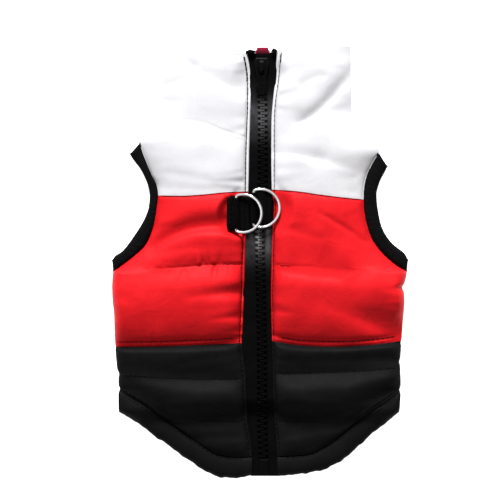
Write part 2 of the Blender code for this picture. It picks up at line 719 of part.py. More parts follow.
def zip_slider():
    """Slider body with the bail that the pull tab hangs on."""
    x = float(CHAIN_X(SLIDER_Y))
    plan = np.array([(x + SLIDER_WIDE * px, SLIDER_Y + SLIDER_LONG / 2 * py) for px, py in SLIDER_PLAN])
    sections = []
    for z, share in ((SLIDER_BOTTOM, 1), (SLIDER_TOP - 0.4, 1), (SLIDER_TOP, 0.9)):
        level = (plan - (x, SLIDER_Y)) * share + (x, SLIDER_Y)
        sections.append(np.column_stack((level, np.full(len(level), z))))
    body = make_object("zip_slider", *tube(sections, False), "black_lacquer")
    profile = BAIL_OUTER + BAIL_INNER
    walls = [np.array([(x + edge, SLIDER_Y + y, z) for y, z in profile]) for edge in (-BAIL_HALF, BAIL_HALF)]
    join(body, make_object("zip_bail", *tube(walls, False), "black_lacquer"))
    return body


def zip_pull():
    """Pull tab: a plate with an eye for the bail, hinged on the bar above the eye."""
    x = float(CHAIN_X(SLIDER_Y))
    tilt = math.radians(-PULL_TILT)
    sections = []
    for outline, face in ((PULL_RIM, -1), (PULL_RIM, 1), (PULL_EYE, 1), (PULL_EYE, -1)):
        section = []
        for px, py in outline:
            pz = face * PULL_THICK / 2
            section.append((x + px, SLIDER_Y + py * math.cos(tilt) + pz * math.sin(tilt),
                            PULL_AXIS_Z - py * math.sin(tilt) + pz * math.cos(tilt)))
        sections.append(np.array(section))
    points, faces = tube(sections, True)
    return make_object("zip_pull", points, faces, "black_lacquer", (x, SLIDER_Y, PULL_AXIS_Z))


def zip_box():
    """Box and pin at the foot of the zip, on the floor between the tapes."""
    x = float(CHAIN_X((BOX_TOP + BOX_FOOT) / 2))
    half = CHAIN_HALF - 0.1
    points = box_points((x - half, BOX_FOOT, 0), (x + half, BOX_TOP, 3.4))
    return bevelled(make_object("zip_box", points, BOX_FACES, "zip_plastic"), 0.7)


def clear_scene():
    for thing in list(bpy.data.objects):
        bpy.data.objects.remove(thing, do_unlink=True)


def build():
    clear_scene()
    for side in ("left", "right"):
        for name, panel in BACK_PANELS.items():
            make_object(name + "_" + side, *slab(*back_panel(side, panel["rows"])), panel["cloth"])
        make_object("hem_casing_" + side, *slab(*hem_casing(side)), "black_shell")
        make_object("tail_lining_" + side, *slab(*tail_lining(side)), "crimson_lining")
        make_object("zip_tape_" + side, *slab(*zip_tape(side)), "zip_tape")
        make_object("armhole_binding_" + side, *armhole_binding(side), "black_binding")
        points, faces, origin = leash_ring(side)
        make_object("d_ring_" + side, points, faces, "chrome", origin)
        ring_tab(side)
    for name, panel in CHEST_PANELS.items():
        grids = chest_panel(panel["low"], panel["high"], panel["steps"])
        make_object(name, *slab(*grids), panel["cloth"])
    make_object("collar_lining", *slab(*collar_lining()), "crimson_lining")
    make_object("zip_chain", *slab(*zip_chain()), "zip_plastic")
    zip_slider()
    zip_pull()
    zip_box()


build()
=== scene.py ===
"""Looks of a padded dog vest that lies flat with its back up.

Every cloth piece is a surface worked out on a grid: u runs from the zip (0) to the side
edge (1), and rows run from seam line to seam line. Tables are in millimetres in the
frame's own axes: +X right, +Y to the collar, +Z up from the floor.
"""

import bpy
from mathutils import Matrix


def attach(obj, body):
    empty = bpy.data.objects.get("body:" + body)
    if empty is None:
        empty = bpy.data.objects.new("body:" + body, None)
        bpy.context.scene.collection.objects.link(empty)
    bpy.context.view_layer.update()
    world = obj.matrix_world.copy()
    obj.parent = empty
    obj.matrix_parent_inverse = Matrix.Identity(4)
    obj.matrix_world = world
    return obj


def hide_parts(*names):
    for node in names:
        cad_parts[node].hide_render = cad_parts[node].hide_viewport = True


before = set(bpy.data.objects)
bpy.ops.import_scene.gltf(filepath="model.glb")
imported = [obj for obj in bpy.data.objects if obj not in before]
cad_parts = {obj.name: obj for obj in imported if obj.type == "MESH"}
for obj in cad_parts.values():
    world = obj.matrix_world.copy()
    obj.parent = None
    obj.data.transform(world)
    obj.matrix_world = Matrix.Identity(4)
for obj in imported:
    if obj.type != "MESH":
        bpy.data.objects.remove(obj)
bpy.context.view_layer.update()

import math
from collections import defaultdict, namedtuple

import bpy
import numpy as np

MM = 0.001
SIDES = ("left", "right")
OUT = {"left": -1, "right": 1}


def halves(left, right=None):
    """A value for each half of the vest: the same for both if only one is given."""
    return {"left": left, "right": left if right is None else right}


# Heights and thicknesses.
LAYER_MEET = 4.6          # where chest side and back side meet, away from the edges
EDGE_MEET = 2.8           # the same, at the side edges
EDGE_ROUND = 10.0         # it sinks over this length towards them
LAYER_GAP = 0.15          # each side stays this far from where they meet
SEAM_GAP = 0.03           # a panel stays this far from its seam lines,
SEAM_GAPS = {"neck": 0.004}   # but for these
EDGE_THICK = 1.8          # a back panel at its side edge
ZIP_THICK = 2.4           # a back panel's folded edge beside the zip
LINING_THICK = 0.8
TAIL_SHELL = 1.1          # height of the tail's inside over the floor
TAIL_DROP = 12.0          # the back comes down to it over this length past the belly hem
ARMHOLE_LAP = 1.2         # the panels run this far under the armhole bindings,
LAP_ENDS = (-3.5, 71.5)   # between these heights, and less over LAP_FADE inwards of them
LAP_FADE = 3

# The padding rises over these lengths from an edge.
SIDE_ROUND = 6.5          # from the lower side edges
SIDE_SLOPE = 30.0         # from the armholes and the collar's sides, more gently
SIDE_CHANGE = (-2, 5)     # the gentle one gives way below this height, over this length
ZIP_ROUND = 12.0          # from the topstitch beside the zip
ZIP_FOLD = (1.0, 0.8)     # rounding of the folded edge beside the zip: height and reach
ZIP_GROOVE = (0.55, 0.55)   # groove of the topstitch: depth and half width
PUFF_PITCH = 34.0         # rows of padding narrower than this swell less
BACK_LUMPS = (0.3, 24)    # unevenness of the whole back: height and size
EDGE_STITCHES = {
    # distance from the zip-side edge to its topstitch, at these heights
    "left": ((-129, 36, 48, 127), (1.9, 1.7, 2.0, 2.1)),
    "right": ((-129, 36, 48, 127), (1.4, 1.1, 1.7, 2.3)),
}

# Heights of the seam lines at even steps from the zip to the side edge.
SEAMS = {
    "collar_top": halves((125.2, 125.6, 126, 126.4, 124), (127.6, 128, 129, 129.5, 130)),
    "neck": halves((74.8, 79.2, 84.7, 87, 87.5), (75.8, 79.2, 82.5, 85.2, 87.5)),
    "chest": halves((42.8, 42.2, 40.8, 40.1, 40.4), (43.9, 42.9, 40.9, 39.2, 37.9)),
    "ribs": halves((-0.9, -1, -2.6, -3.6, -5.5), (-0.8, -2, -3.1, -3.6, -5.5)),
    "waist": halves((-48.1, -49, -49.8, -50.3, -50.5), (-46.9, -49.7, -50.3, -49.3, -47)),
    "loin": halves((-69.8, -69.8, -69.2, -68.1, -66.8), (-66.8, -66.3, -65.5, -64.2, -62.5)),
    "rump": halves((-95.5, -95, -95.3, -85.2, -74.3), (-95.5, -95.5, -95.8, -87, -74.8)),
    "hem_stitch": halves(
        (-116.5, -116.6, -115.2, -109.5, -102.3, -94.6, -87.9, -82.3, -76.5),
        (-116.2, -115.9, -115, -111.2, -105.3, -98, -90.5, -84.8, -77)),
    "hem": halves(
        (-127.9, -129.7, -129, -124.2, -117.6, -110.2, -103, -95.4, -89.5),
        (-128.5, -127.7, -126.6, -124.7, -120.4, -113.6, -105, -97.6, -89.5)),
}

# Rows of padding from low to high: lower and upper line, height of the crest above the
# stitched lines, its place in the row, the powers of the slope below it (left and right
# half) and above it, and grid rows.
Row = namedtuple("Row", "low high puff crest droop top steps")
ROWS = {
    "tail": Row("hem_stitch", "rump", 5.0, 0.66, halves(2.0), 2.0, 28),
    "rump_up": Row("rump", "loin", 7.2, 0.64, halves(2.0), 2.0, 36),
    "loin_up": Row("loin", "waist", 6.6, 0.74, halves(2.0), 2.6, 30),
    "waist_up": Row("waist", "ribs", 8.6, 0.74, halves(3.1, 2.3), 2.0, 64),
    "ribs_up": Row("ribs", "chest", 6.6, 0.56, halves(5.2, 3.2), 2.6, 50),
    "yoke": Row("chest", "neck", 4.7, 0.5, halves(2.2), 2.4, 46),
    "collar": Row("neck", "collar_top", 3.9, 0.5, halves(2.2), 2.4, 54),
}
COLUMNS = 96

# Stitched lines: thickness of the cloth there, how far from the line its hollow is
# rounded, and for each half, at even steps from the zip to the side edge, the padding left
# over the line, and the depth of the narrow groove of its stitches.
Line = namedtuple("Line", "cloth soft padding groove")
LINES = {
    "hem_stitch": Line(2.3, 0.8, halves((0.2, 0.2)), halves((0.2, 0.2))),
    "rump": Line(2.4, 3.4, halves((1.6, 1.8, 2.0, 1.4, 0.8), (1.4, 1.6, 1.8, 1.4, 0.8)),
                 halves((0.2, 0.2, 0.15, 0.1, 0.05), (0.25, 0.2, 0.15, 0.1, 0.05))),
    "loin": Line(2.4, 3.4, halves((1.2, 1.3, 1.6, 2.2, 2.2), (0.8, 0.8, 1.0, 1.4, 1.4)),
                 halves((0.25, 0.2, 0.1, 0.05, 0.05), (0.35, 0.3, 0.25, 0.1, 0.05))),
    "waist": Line(2.4, 1.0, halves((0.2, 0.4, 0.3)), halves((0.3, 0.3))),
    "ribs": Line(2.6, 1.8, halves((4.4, 4.6, 4.9, 5.7, 6.2), (5.9, 6.0, 6.0, 6.2, 6.2)),
                 halves((0.7, 0.7, 0.45, 0.15, 0), (0.2, 0.15, 0.06, 0, 0))),
    "chest": Line(2.4, 1.0, halves((2.8, 3.6, 4.0, 3.9, 3.5), (3.0, 3.8, 4.2, 4.0, 3.6)),
                  halves((0.12, 0.1), (0.1, 0.1))),
    "neck": Line(2.5, 2.0, halves((2.8, 3.3, 3.7, 3.8, 3.8), (3.7, 3.9, 4.0, 4.0, 4.0)),
                 halves((0.25, 0.2, 0.06, 0, 0), (0, 0))),
    "collar_top": Line(2.6, 0.5, halves((2.4, 2.8, 2.4)), halves((0, 0))),
}
GROOVE = 0.8              # half width of a stitched groove
HEM_STEP = {"chest": 0.9}   # how far the row below a seam starts under the upper row's hem
HEM_STEP_FADE = 1.3
# The turned edge above the waist seam: each is distance from the seam, height, half width.
WELT = ((1.1, 0.12, 0.6), (3.4, -0.75, 1.5))
WELT_STITCH = WELT[1][0]
FAR = 99.0                # rows without a welt lie this far from it

# Panels of the back: lowest and highest row, finish, and how full the padding is.
PANELS = {
    "lower": ("tail", "loin_up", "black_shell", 0.5),
    "middle": ("waist_up", "ribs_up", "red_shell", 0.6),
    "yoke": ("yoke", "yoke", "white_shell", 0.5),
    "collar_back": ("collar", "collar", "white_shell", 0.3),
}

# The vest's side edges: height, left x, right x.
SIDE_EDGES = (
    (-89.5, -84.6, 84), (-72, -84.7, 84.9), (-61, -85.8, 84.5), (-50, -86.7, 85.2),
    (-36, -87.3, 86.1), (-24, -88.2, 87.1), (-15, -88.6, 86.8), (-5.5, -87.9, 88.4),
    (-4, -85.8, 86), (-2, -82.7, 82.1), (3, -76, 76), (8.7, -70, 70.7), (15.3, -66, 66.5),
    (21.3, -63.4, 64.4), (27.5, -62.1, 62.8), (34, -61.3, 62), (40.5, -60.5, 62),
    (46.7, -61.6, 62.5), (53.3, -64.7, 64.2), (60, -67.4, 67.4), (67, -70.1, 71),
    (72.6, -71.5, 68.2), (77, -69.2, 65.2), (82.5, -66.3, 61), (89, -63.4, 56),
    (98, -60.9, 55.2), (130, -59.7, 54.9),
)
# The zip: height, x of the left panel's edge, of the chain and of the right panel's edge.
ZIP_EDGES = (
    (-129, -4.5, 2.9, 11.1), (-115, -4.5, 2.4, 10.5), (-94, -7.2, 1.6, 8.8),
    (-70, -8.1, 1.5, 7.9), (-49, -10.2, 1.4, 7.5), (-20, -9.3, 0.9, 6.9), (12, -8.4, 0.3, 7.5),
    (34, -7.1, 1.3, 8.7), (44, -6.6, 1.8, 7.3), (66, -6.2, 1.9, 7), (83, -5.7, 1.9, 7.1),
    (110, -5.1, 1.4, 9.3), (127.6, -7.8, 0.9, 10.5),
)
# Notches of the side edges where seams pull them in: height, depth, half width.
NOTCHES = {
    "left": ((-66.7, 0.8, 2.0), (-75.7, 0.8, 1.6), (-50.3, 0.35, 1.6), (-30.0, 0.3, 5.0)),
    "right": ((-14.9, 1.1, 1.8), (-59.5, 0.6, 1.6), (-76.3, 0.7, 1.6), (-48.0, 0.5, 1.6)),
}

# The chest side: heights of its seams at even steps across, then each panel's lower and
# upper seam, finish and grid rows.
CHEST_SEAMS = {
    "throat_top": (122, 123, 123.6, 124, 127.8, 127.4, 127, 126.8, 126.5),
    "throat": (86, 84, 83, 84, 86),
    "chest": (40.4, 39, 38.5, 38.6, 37.9),
    "waist": (-50.5, -51, -51, -50, -47),
    "belly_stitch": (-78.5, -73.5, -71.5, -73.5, -78.5),
    "belly_hem": (-88, -82.5, -80.5, -82.5, -88),
}
CHEST_PANELS = {
    "collar_throat": ("throat", "throat_top", "white_shell", 36),
    "chest_yoke": ("chest", "throat", "white_shell", 40),
    "chest_middle": ("waist", "chest", "red_shell", 70),
    "belly": ("belly_stitch", "waist", "black_shell", 24),
    "belly_hem": ("belly_hem", "belly_stitch", "black_shell", 12),
}
CHEST_COLUMNS = 90
CHEST_FILL = 0.3
CHEST_RIM = (0.85, 2.4)   # the flat underside rolls up this high over this length
CHEST_WAVE = (0.35, 7)    # share of that height by which it waves, and mean length
CHEST_THIN = 0.8          # a chest panel is at least this thick
HIDDEN_LINING = LINING_THICK + 2 * LAYER_GAP   # room under the throat's lining

# Soft folds of the back: each end with its depth, how far the fold reaches
# above and below its line, and how far the line's middle bows upwards.
FOLDS = (
    # collar
    (57, 115, 1.9, 25.5, 82.5, 1.2, 4.2, 3, -1),
    (26, 85.5, 1.3, 57, 90.5, 1.4, 6.5, 2.8, 1),
    (26, 106, 0.4, 37.5, 111.5, 0.5, 3.4, 1.8, 1),
    (46, 124, 0.3, 58, 126, 0.8, 6, 6, 0),
    (8.5, 111.5, 3, 19, 115, 0.4, 7, 5.5, 0),
    (-9, 110, 2.1, -18, 112, 0.3, 8.5, 7.5, 0),
    (-9, 101, 0.6, -20, 105, 0.3, 4, 3, 0),
    (-50.9, 127.6, 0.5, -39.5, 118, 0.4, 3.4, 2, -0.6),
    (-41, 118, 0.3, -12, 104.5, 0.8, 5.5, 3.5, -1),
    # yoke
    (8.5, 66, 0.5, 37, 61.5, 0.9, 5, 2.6, 1.2),
    (34, 61.5, 0.55, 64, 54, 0.15, 4.8, 2.4, 0.4),
    (-62, 46, 0.45, -8, 43, 0.4, 7.5, 3, 0),
    (-62, 55, 0.4, -32, 50, 0.3, 3.6, 3, 0),
    # back middle, above its quilted line
    (-63, 9.5, 3.2, -17, 21, 5.6, 7, 3.6, 5.4),
    (-66, 4.5, 0.3, -12, 10.5, 0.4, 3.2, 2.4, 1.5),
    (36.5, 29, 0.5, 64, 11.5, 0.5, 2.4, 1.2, 0.3),
    (40.5, 27.5, 0.3, 55, 18.5, 0.3, 1.6, 1, 0.2),
    (8.5, 21, 0.5, 36, 14.5, 0.3, 4, 2.6, 1),
    # back middle, below it
    (-9.3, -17.8, 2.6, -40, -20, 0.5, 4.8, 3.4, 0.4),
    (-9.3, -32.4, 1.5, -28, -33.8, 0.3, 3, 2.2, 0.4),
    (-9, -46.8, 1.6, -22, -47.2, 0.5, 5, 2, 0),
    (-9.3, -40.5, 1.2, -20, -41.5, 0.2, 2.6, 1.6, 0),
    (44, -26, 0.6, 88, -44, 7, 12.5, 7.6, 0.5),
    (76, -16, 0.2, 88, -17.5, 1.2, 3.5, 2, 0),
    (13, -4.5, 0.7, 46, -9, 0.5, 3.6, 2.4, -0.6),
    (8.3, -29, 0.7, 24, -31, 0, 3, 2, 0.3),
    # back lower and tail
    (-13, -55, 0.7, -46, -60, 0.4, 4, 3, 0.5),
    (20, -59, 0.4, 86, -57, 1.6, 5, 4, 0),
    (47, -88.5, 0.8, 84, -74, 1.8, 7, 3.5, 0),
    (14, -104.5, 0.8, 46, -99.5, 0.6, 3.6, 3, 0.5),
    (-12.5, -104, 0.8, -38, -106.5, 0.5, 3.6, 3, 0.5),
    (-84, -70, 0.9, -58, -84, 0.6, 4.6, 3.4, 0),
)
FOLD_NARROW = 0.55        # share of its width that a fold keeps where it is shallow
THINNEST = 0.5            # folds leave at least this thickness

# Round places pressed flat under the rings: centre x and y, radius, thickness left, and
# reach of the rim below and above.
BEDS = ((-9.4, 29.5, 11.6, 3.8, 5.5, 3.5), (0.7, 32.7, 12.4, 3.6, 9.0, 7.0))

# Puckers, the small waves that gathered cloth makes across a stitched line: height, mean
# length, and reach away from the line.
PUCKERS = {
    "seam": (0.45, 7.0, 6.0),
    "quilt": (0.8, 5.5, 5.0),
    "zip": (0.4, 7.5, 7.0),
    "side": (0.3, 8.0, 5.0),
}
PUCKER_START = 2.2        # puckers are whole from this far off their line
PUCKER_FULL = 0.5         # depth of a groove that gathers them to their whole height
ACROSS_FADE = 20          # puckers of one edge are whole this far from the other
RIPPLE_FULL = 2.0         # padding over which puckers and lumps show whole
CLOTH_FADE = 5            # the cloth has a row's own thickness this far from the topstitch
GROOVE_FADE = 3           # grooves are whole this far from the zip and the side edge
LOWEST_LOFT = -0.4
SEEDS = {"puckers": halves(11, 23), "lumps": halves(9, 10), "gathers": halves(31, 37)}


# ---------------------------------------------------------------- curves and fields

def curve(xs, ys):
    """Smooth function through the points, xs rising, without overshoot; flat beyond."""
    xs = np.asarray(xs, float)
    ys = np.asarray(ys, float)
    rise = np.diff(ys) / np.diff(xs)
    slope = np.concatenate(([rise[0]], np.zeros(len(xs) - 2), [rise[-1]]))
    low, high = rise[:-1], rise[1:]
    same = low * high > 0
    slope[1:-1][same] = 2 * low[same] * high[same] / (low[same] + high[same])

    def value(x):
        x = np.clip(x, xs[0], xs[-1])
        i = np.clip(np.searchsorted(xs, x) - 1, 0, len(xs) - 2)
        width = xs[i + 1] - xs[i]
        t = (x - xs[i]) / width
        start = (1 + 2 * t) * (1 - t) ** 2 * ys[i] + t * (1 - t) ** 2 * width * slope[i]
        end = t * t * (3 - 2 * t) * ys[i + 1] - t * t * (1 - t) * width * slope[i + 1]
        return start + end

    return value


def even_curve(ys):
    """Smooth function through values at even steps from 0 to 1."""
    return curve(np.linspace(0, 1, len(ys)), ys)


def column_curve(table, column):
    """Curve through one column of a table over its first one, the heights."""
    rows = np.array(table, float)
    return curve(rows[:, 0], rows[:, column])


def notched_side(side):
    """The side edge as a function of the height, with its small notches."""
    plain = column_curve(SIDE_EDGES, 1 + SIDES.index(side))

    def value(y):
        x = plain(y)
        for height, deep, half in NOTCHES[side]:
            x = x - OUT[side] * deep * bell((y - height) / half)
        return x

    return value


def bell(t):
    """1 at 0, 0.37 at 1 and almost 0 from 2."""
    return np.exp(-t ** 2)


def smooth(t):
    """0 below 0, 1 above 1, and an even S between them."""
    t = np.clip(t, 0, 1)
    return t * t * (3 - 2 * t)


def between(start, end, share):
    return start + (end - start) * share


def round_off(distance, reach):
    """Quarter circle: 0 at an edge, 1 from the reach inwards."""
    t = 1 - np.clip(distance / reach, 0, 1)
    return np.sqrt(1 - t * t)


def waves(s, length, seed, count=7):
    """Uneven wave along s: a sum of sines of lengths near the mean one, about -1 to 1."""
    draw = np.random.default_rng(seed)
    total = np.zeros_like(s)
    for _ in range(count):
        total += np.sin(2 * np.pi * (s / (length * draw.uniform(0.55, 1.9)) + draw.uniform()))
    return total / math.sqrt(count)


def lumps(x, y, size, seed, count=14):
    """Soft uneven surface: sines of about the given size in random directions."""
    draw = np.random.default_rng(seed)
    total = np.zeros_like(x)
    for _ in range(count):
        angle = draw.uniform(0, 2 * np.pi)
        scale = 2 * np.pi / (size * draw.uniform(0.6, 1.8))
        along = x * math.cos(angle) + y * math.sin(angle)
        total += np.sin(scale * along + draw.uniform(0, 2 * np.pi))
    return total / math.sqrt(count)


def spread(count, first=0.3, last=0.45, reach=0.06):
    """Fractions from 0 to 1 whose steps shrink to these shares at the two ends."""
    t = np.linspace(0, 1, count + 1)
    near_start = (1 - first) * reach * (1 - np.exp(-t / reach))
    near_end = (1 - last) * reach * np.exp((t - 1) / reach)
    u = t - near_start - near_end
    return (u - u[0]) / (u[-1] - u[0])


SIDE_X = {side: notched_side(side) for side in SIDES}
ZIP_X = {"left": column_curve(ZIP_EDGES, 1), "right": column_curve(ZIP_EDGES, 3)}
CHAIN_X = column_curve(ZIP_EDGES, 2)


def panel_edge(side, y):
    """X of a panel's outer edge: the side edge, and past it under an armhole's binding."""
    low, high = LAP_ENDS
    lap = ARMHOLE_LAP * smooth((high - y) / LAP_FADE) * smooth((y - low) / LAP_FADE)
    return SIDE_X[side](y) + OUT[side] * lap


def half_points(side, y, u):
    """X of points at the share u of the way from the zip to the side edge."""
    return between(ZIP_X[side](y), panel_edge(side, y), u)


def belly_hem_y(x):
    left, right = (SIDE_X[side](CHEST_SEAMS["belly_hem"][0]) for side in SIDES)
    return even_curve(CHEST_SEAMS["belly_hem"])((x - left) / (right - left))


def meeting(x, y):
    """Height where the two sides of the vest meet, sinking towards the side edges."""
    inside = np.minimum(x - SIDE_X["left"](y), SIDE_X["right"](y) - x)
    return between(EDGE_MEET, LAYER_MEET, round_off(inside, EDGE_ROUND))


def back_underside(x, y, tail_z=0):
    """Plain inside of the back: on the chest side, then down to tail_z on the tail."""
    over = meeting(x, y) + LAYER_GAP
    return between(over, tail_z, smooth((belly_hem_y(x) - y) / TAIL_DROP))


def fold_depth(x, y):
    """Sum of the listed folds. Each fades away from its line, more slowly above it
    than below, and past its ends; the line bows like an arc, and is narrower where the
    fold is shallower."""
    depth = np.zeros_like(x)
    for x0, y0, deep0, x1, y1, deep1, up, down, bow in FOLDS:
        along_x, along_y = x1 - x0, y1 - y0
        long = math.hypot(along_x, along_y)
        t = ((x - x0) * along_x + (y - y0) * along_y) / long ** 2
        near = np.clip(t, 0, 1)
        above = ((y - y0) * along_x - (x - x0) * along_y) / long * math.copysign(1, along_x)
        above = above - bow * 4 * near * (1 - near)
        deep = between(deep0, deep1, smooth(near))
        wide = FOLD_NARROW + (1 - FOLD_NARROW) * deep / max(deep0, deep1)
        wide = np.where(above > 0, up, down) * wide
        past = (t - near) * long / (0.6 * up + 0.4 * down)
        depth += deep * np.exp(-(above / wide) ** 2 - past ** 2)
    return depth


def folded(x, y, thick):
    """The thickness with the folds taken off, never less than the thinnest."""
    room = np.maximum(thick - THINNEST, 0.01)
    left = THINNEST + room * (1 - np.tanh(fold_depth(x, y) / room))
    return np.where(thick > THINNEST, left, thick)


def pressed(x, y, thick):
    """The thickness where tabs and rings press the padding, fading out around them."""
    for middle_x, middle_y, radius, left, fade, fade_up in BEDS:
        far = np.hypot(x - middle_x, y - middle_y)
        above = smooth((y - middle_y) / np.maximum(far, 0.1))
        share = 1 - smooth((far - radius) / between(fade, fade_up, above))
        thick = between(thick, np.minimum(left, thick), share)
    return thick


def pucker(kind, s, away, seed):
    """Waves along s that start at a line, are highest a little way off and fade out."""
    high, length, reach = PUCKERS[kind]
    away = np.maximum(away, 0)
    slant = s + 0.25 * away * waves(s, 4 * length, seed + 50)
    uneven = smooth(0.5 + 0.6 * waves(s, 6 * length, seed + 90))
    start = smooth(away / PUCKER_START)
    return high * uneven * waves(slant, length, seed) * start * np.exp(-away / reach)


# ---------------------------------------------------------------- the quilted back

def row_bounds():
    """First and last grid row of each row of padding."""
    ends = np.cumsum([0] + [row.steps for row in ROWS.values()])
    return dict(zip(ROWS, zip(ends[:-1].tolist(), ends[1:].tolist())))


ROW_BOUNDS = row_bounds()


def back_plan(side):
    """The grid of a whole half, as named arrays: X, Y, the row's share v from its lower to
    its upper line, the distances from both lines, and the row's and the lines' values."""
    u = spread(COLUMNS)
    plan = defaultdict(list)
    for index, row in enumerate(ROWS.values()):
        ends = LINES[row.low], LINES[row.high]
        low, high = (even_curve(SEAMS[name][side])(u) for name in (row.low, row.high))
        padding = [even_curve(line.padding[side])(u) for line in ends]
        groove = [even_curve(line.groove[side])(u) for line in ends]
        height = high - low
        last = None if index == len(ROWS) - 1 else -1
        for v in spread(row.steps, 0.35, 0.35, 0.1)[:last]:
            away = v * height, (1 - v) * height
            past = [np.hypot(far, line.soft) - line.soft for far, line in zip(away, ends)]
            dip = sum(deep * bell(far / GROOVE) for deep, far in zip(groove, away))
            dip = dip + HEM_STEP.get(row.high, 0) * bell(away[1] / HEM_STEP_FADE)
            values = {
                "y": low + v * height, "v": past[0] / (past[0] + past[1]),
                "low": away[0], "high": away[1], "row": index, "groove": dip,
                "padding": between(*padding, v),
                "cloth": between(ends[0].cloth, ends[1].cloth, v),
                "puff": row.puff * np.minimum(1, height / PUFF_PITCH),
                "crest": row.crest, "droop": row.droop[side], "top": row.top,
                "welt": away[0] if row.low == "waist" else FAR,
            }
            for key, value in values.items():
                plan[key].append(value + 0 * u)
    plan = {key: np.array(values) for key, values in plan.items()}
    plan["x"] = half_points(side, plan["y"], u)
    return plan


def puckers(side, plan, from_side, from_zip, from_stitch):
    """Waves across every stitched line: along the seams, the zip and the side."""
    seed = SEEDS["puckers"][side]
    x, y = plan["x"], plan["y"]
    total = np.zeros_like(x)
    for index, row in enumerate(ROWS.values()):
        for offset, end in enumerate(("low", "high")):
            line = getattr(row, end)
            strength = even_curve(LINES[line].groove[side])(spread(COLUMNS)) / PUCKER_FULL
            kind = "quilt" if line == "ribs" else "seam"
            ripple = pucker(kind, x, plan[end], seed + 3 * index + offset)
            total += (plan["row"] == index) * strength * ripple
    total += pucker("zip", y, from_stitch, seed + 71) * smooth(from_side / ACROSS_FADE)
    beside = pucker("side", y, from_side - 2, seed + 83)
    return total + beside * smooth(from_zip / ACROSS_FADE)


def row_shape(v, crest, droop, top):
    """Profile of a row of padding: 0 at both lines and 1 at its crest."""
    below = 1 - np.abs(1 - v / crest) ** droop
    above = 1 - np.abs((v - crest) / (1 - crest)) ** top
    return np.where(v < crest, below, above)


def side_rise(from_side, y):
    """Share of the padding: a quarter circle up from the lower side edges, and a gentler
    parabola beside the armholes and the collar."""
    slope = 1 - (1 - np.clip(from_side / SIDE_SLOPE, 0, 1)) ** 2
    start, fade = SIDE_CHANGE
    return between(slope, round_off(from_side, SIDE_ROUND), smooth((start - y) / fade))


def zip_edge(from_zip, from_stitch):
    """Change of thickness beside the zip: a rounded fold, and the groove of its stitches."""
    drop, reach = ZIP_FOLD
    deep, half = ZIP_GROOVE
    return -drop * (1 - round_off(from_zip, reach)) - deep * bell(from_stitch / half)


def back_surface(side):
    """Outer surface of a half of the back. A row swells from its stitched lines to its
    crest, and rises from the zip's topstitch like a quarter circle, and from the side.
    Puckers cross the stitched lines; then beds are pressed and folds are taken off."""
    plan = back_plan(side)
    x, y = plan["x"], plan["y"]
    from_side = np.maximum(OUT[side] * (SIDE_X[side](y) - x), 0)
    from_zip = np.abs(x - ZIP_X[side](y))
    from_stitch = from_zip - curve(*EDGE_STITCHES[side])(y)
    cloth = between(ZIP_THICK, plan["cloth"], smooth(from_stitch / CLOTH_FADE))
    rise = side_rise(from_side, y)
    rim = between(EDGE_THICK, cloth, rise)
    shape = row_shape(plan["v"], plan["crest"], plan["droop"], plan["top"])
    loft = between(plan["padding"], plan["puff"], shape)
    loft = loft * rise * round_off(np.maximum(from_stitch, 0), ZIP_ROUND)
    high, size = BACK_LUMPS
    ripple = puckers(side, plan, from_side, from_zip, from_stitch)
    ripple = ripple + high * lumps(x, y, size, SEEDS["lumps"][side])
    loft = loft + ripple * smooth(loft / RIPPLE_FULL)
    groove = plan["groove"] * smooth(from_zip / GROOVE_FADE) * smooth(from_side / GROOVE_FADE)
    loft = np.maximum(loft, LOWEST_LOFT) - groove
    for middle, height, half in WELT:
        loft += height * bell((plan["welt"] - middle) / half)
    thick = folded(x, y, pressed(x, y, rim + loft + zip_edge(from_zip, from_stitch)))
    return np.stack((x, y, back_underside(x, y, TAIL_SHELL) + thick), axis=-1)


# ---------------------------------------------------------------- meshes

def make_piece(name, points, faces, finish, uv=None, sharp=55):
    """New piece from points in mm, shaded smooth but for edges sharper than the angle."""
    mesh = bpy.data.meshes.new(name)
    points = np.asarray(points, float).reshape(-1, 3) * MM
    faces = np.asarray(faces, int)
    mesh.vertices.add(len(points))
    mesh.vertices.foreach_set("co", points.ravel())
    mesh.loops.add(faces.size)
    mesh.loops.foreach_set("vertex_index", faces.ravel())
    mesh.polygons.add(len(faces))
    mesh.polygons.foreach_set("loop_start", np.arange(len(faces)) * faces.shape[1])
    mesh.update(calc_edges=True)
    mesh.validate()
    if uv is not None:
        layer = mesh.uv_layers.new(name="cloth")
        layer.data.foreach_set("uv", np.asarray(uv, float).reshape(-1, 2)[faces.ravel()].ravel())
    mesh.shade_smooth()
    mesh.set_sharp_from_angle(angle=math.radians(sharp))
    mesh.materials.append(FINISHES[finish])
    thing = bpy.data.objects.new(name, mesh)
    bpy.context.collection.objects.link(thing)
    return thing


def facing_out(points, faces):
    """The faces, turned if the closed body's volume comes out negative."""
    corner = np.asarray(points, float).reshape(-1, 3)[faces]
    volume = 0
    for a, b, c in ((0, 1, 2), (0, 2, 3)):
        across = np.cross(corner[:, b], corner[:, c])
        volume += np.einsum("ij,ij->i", corner[:, a], across).sum()
    return faces if volume > 0 else faces[:, ::-1]


def solid(name, points, faces, finish, node=None, body="vest", fill=None, **mesh):
    """New closed piece that rides on a body and takes the named finish. It stands for the
    node, whose CAD part it hides, where one is given; fill is not used."""
    piece = make_piece(name, points, facing_out(points, faces), finish, **mesh)
    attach(piece, body)
    if node:
        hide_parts(node)
    return piece


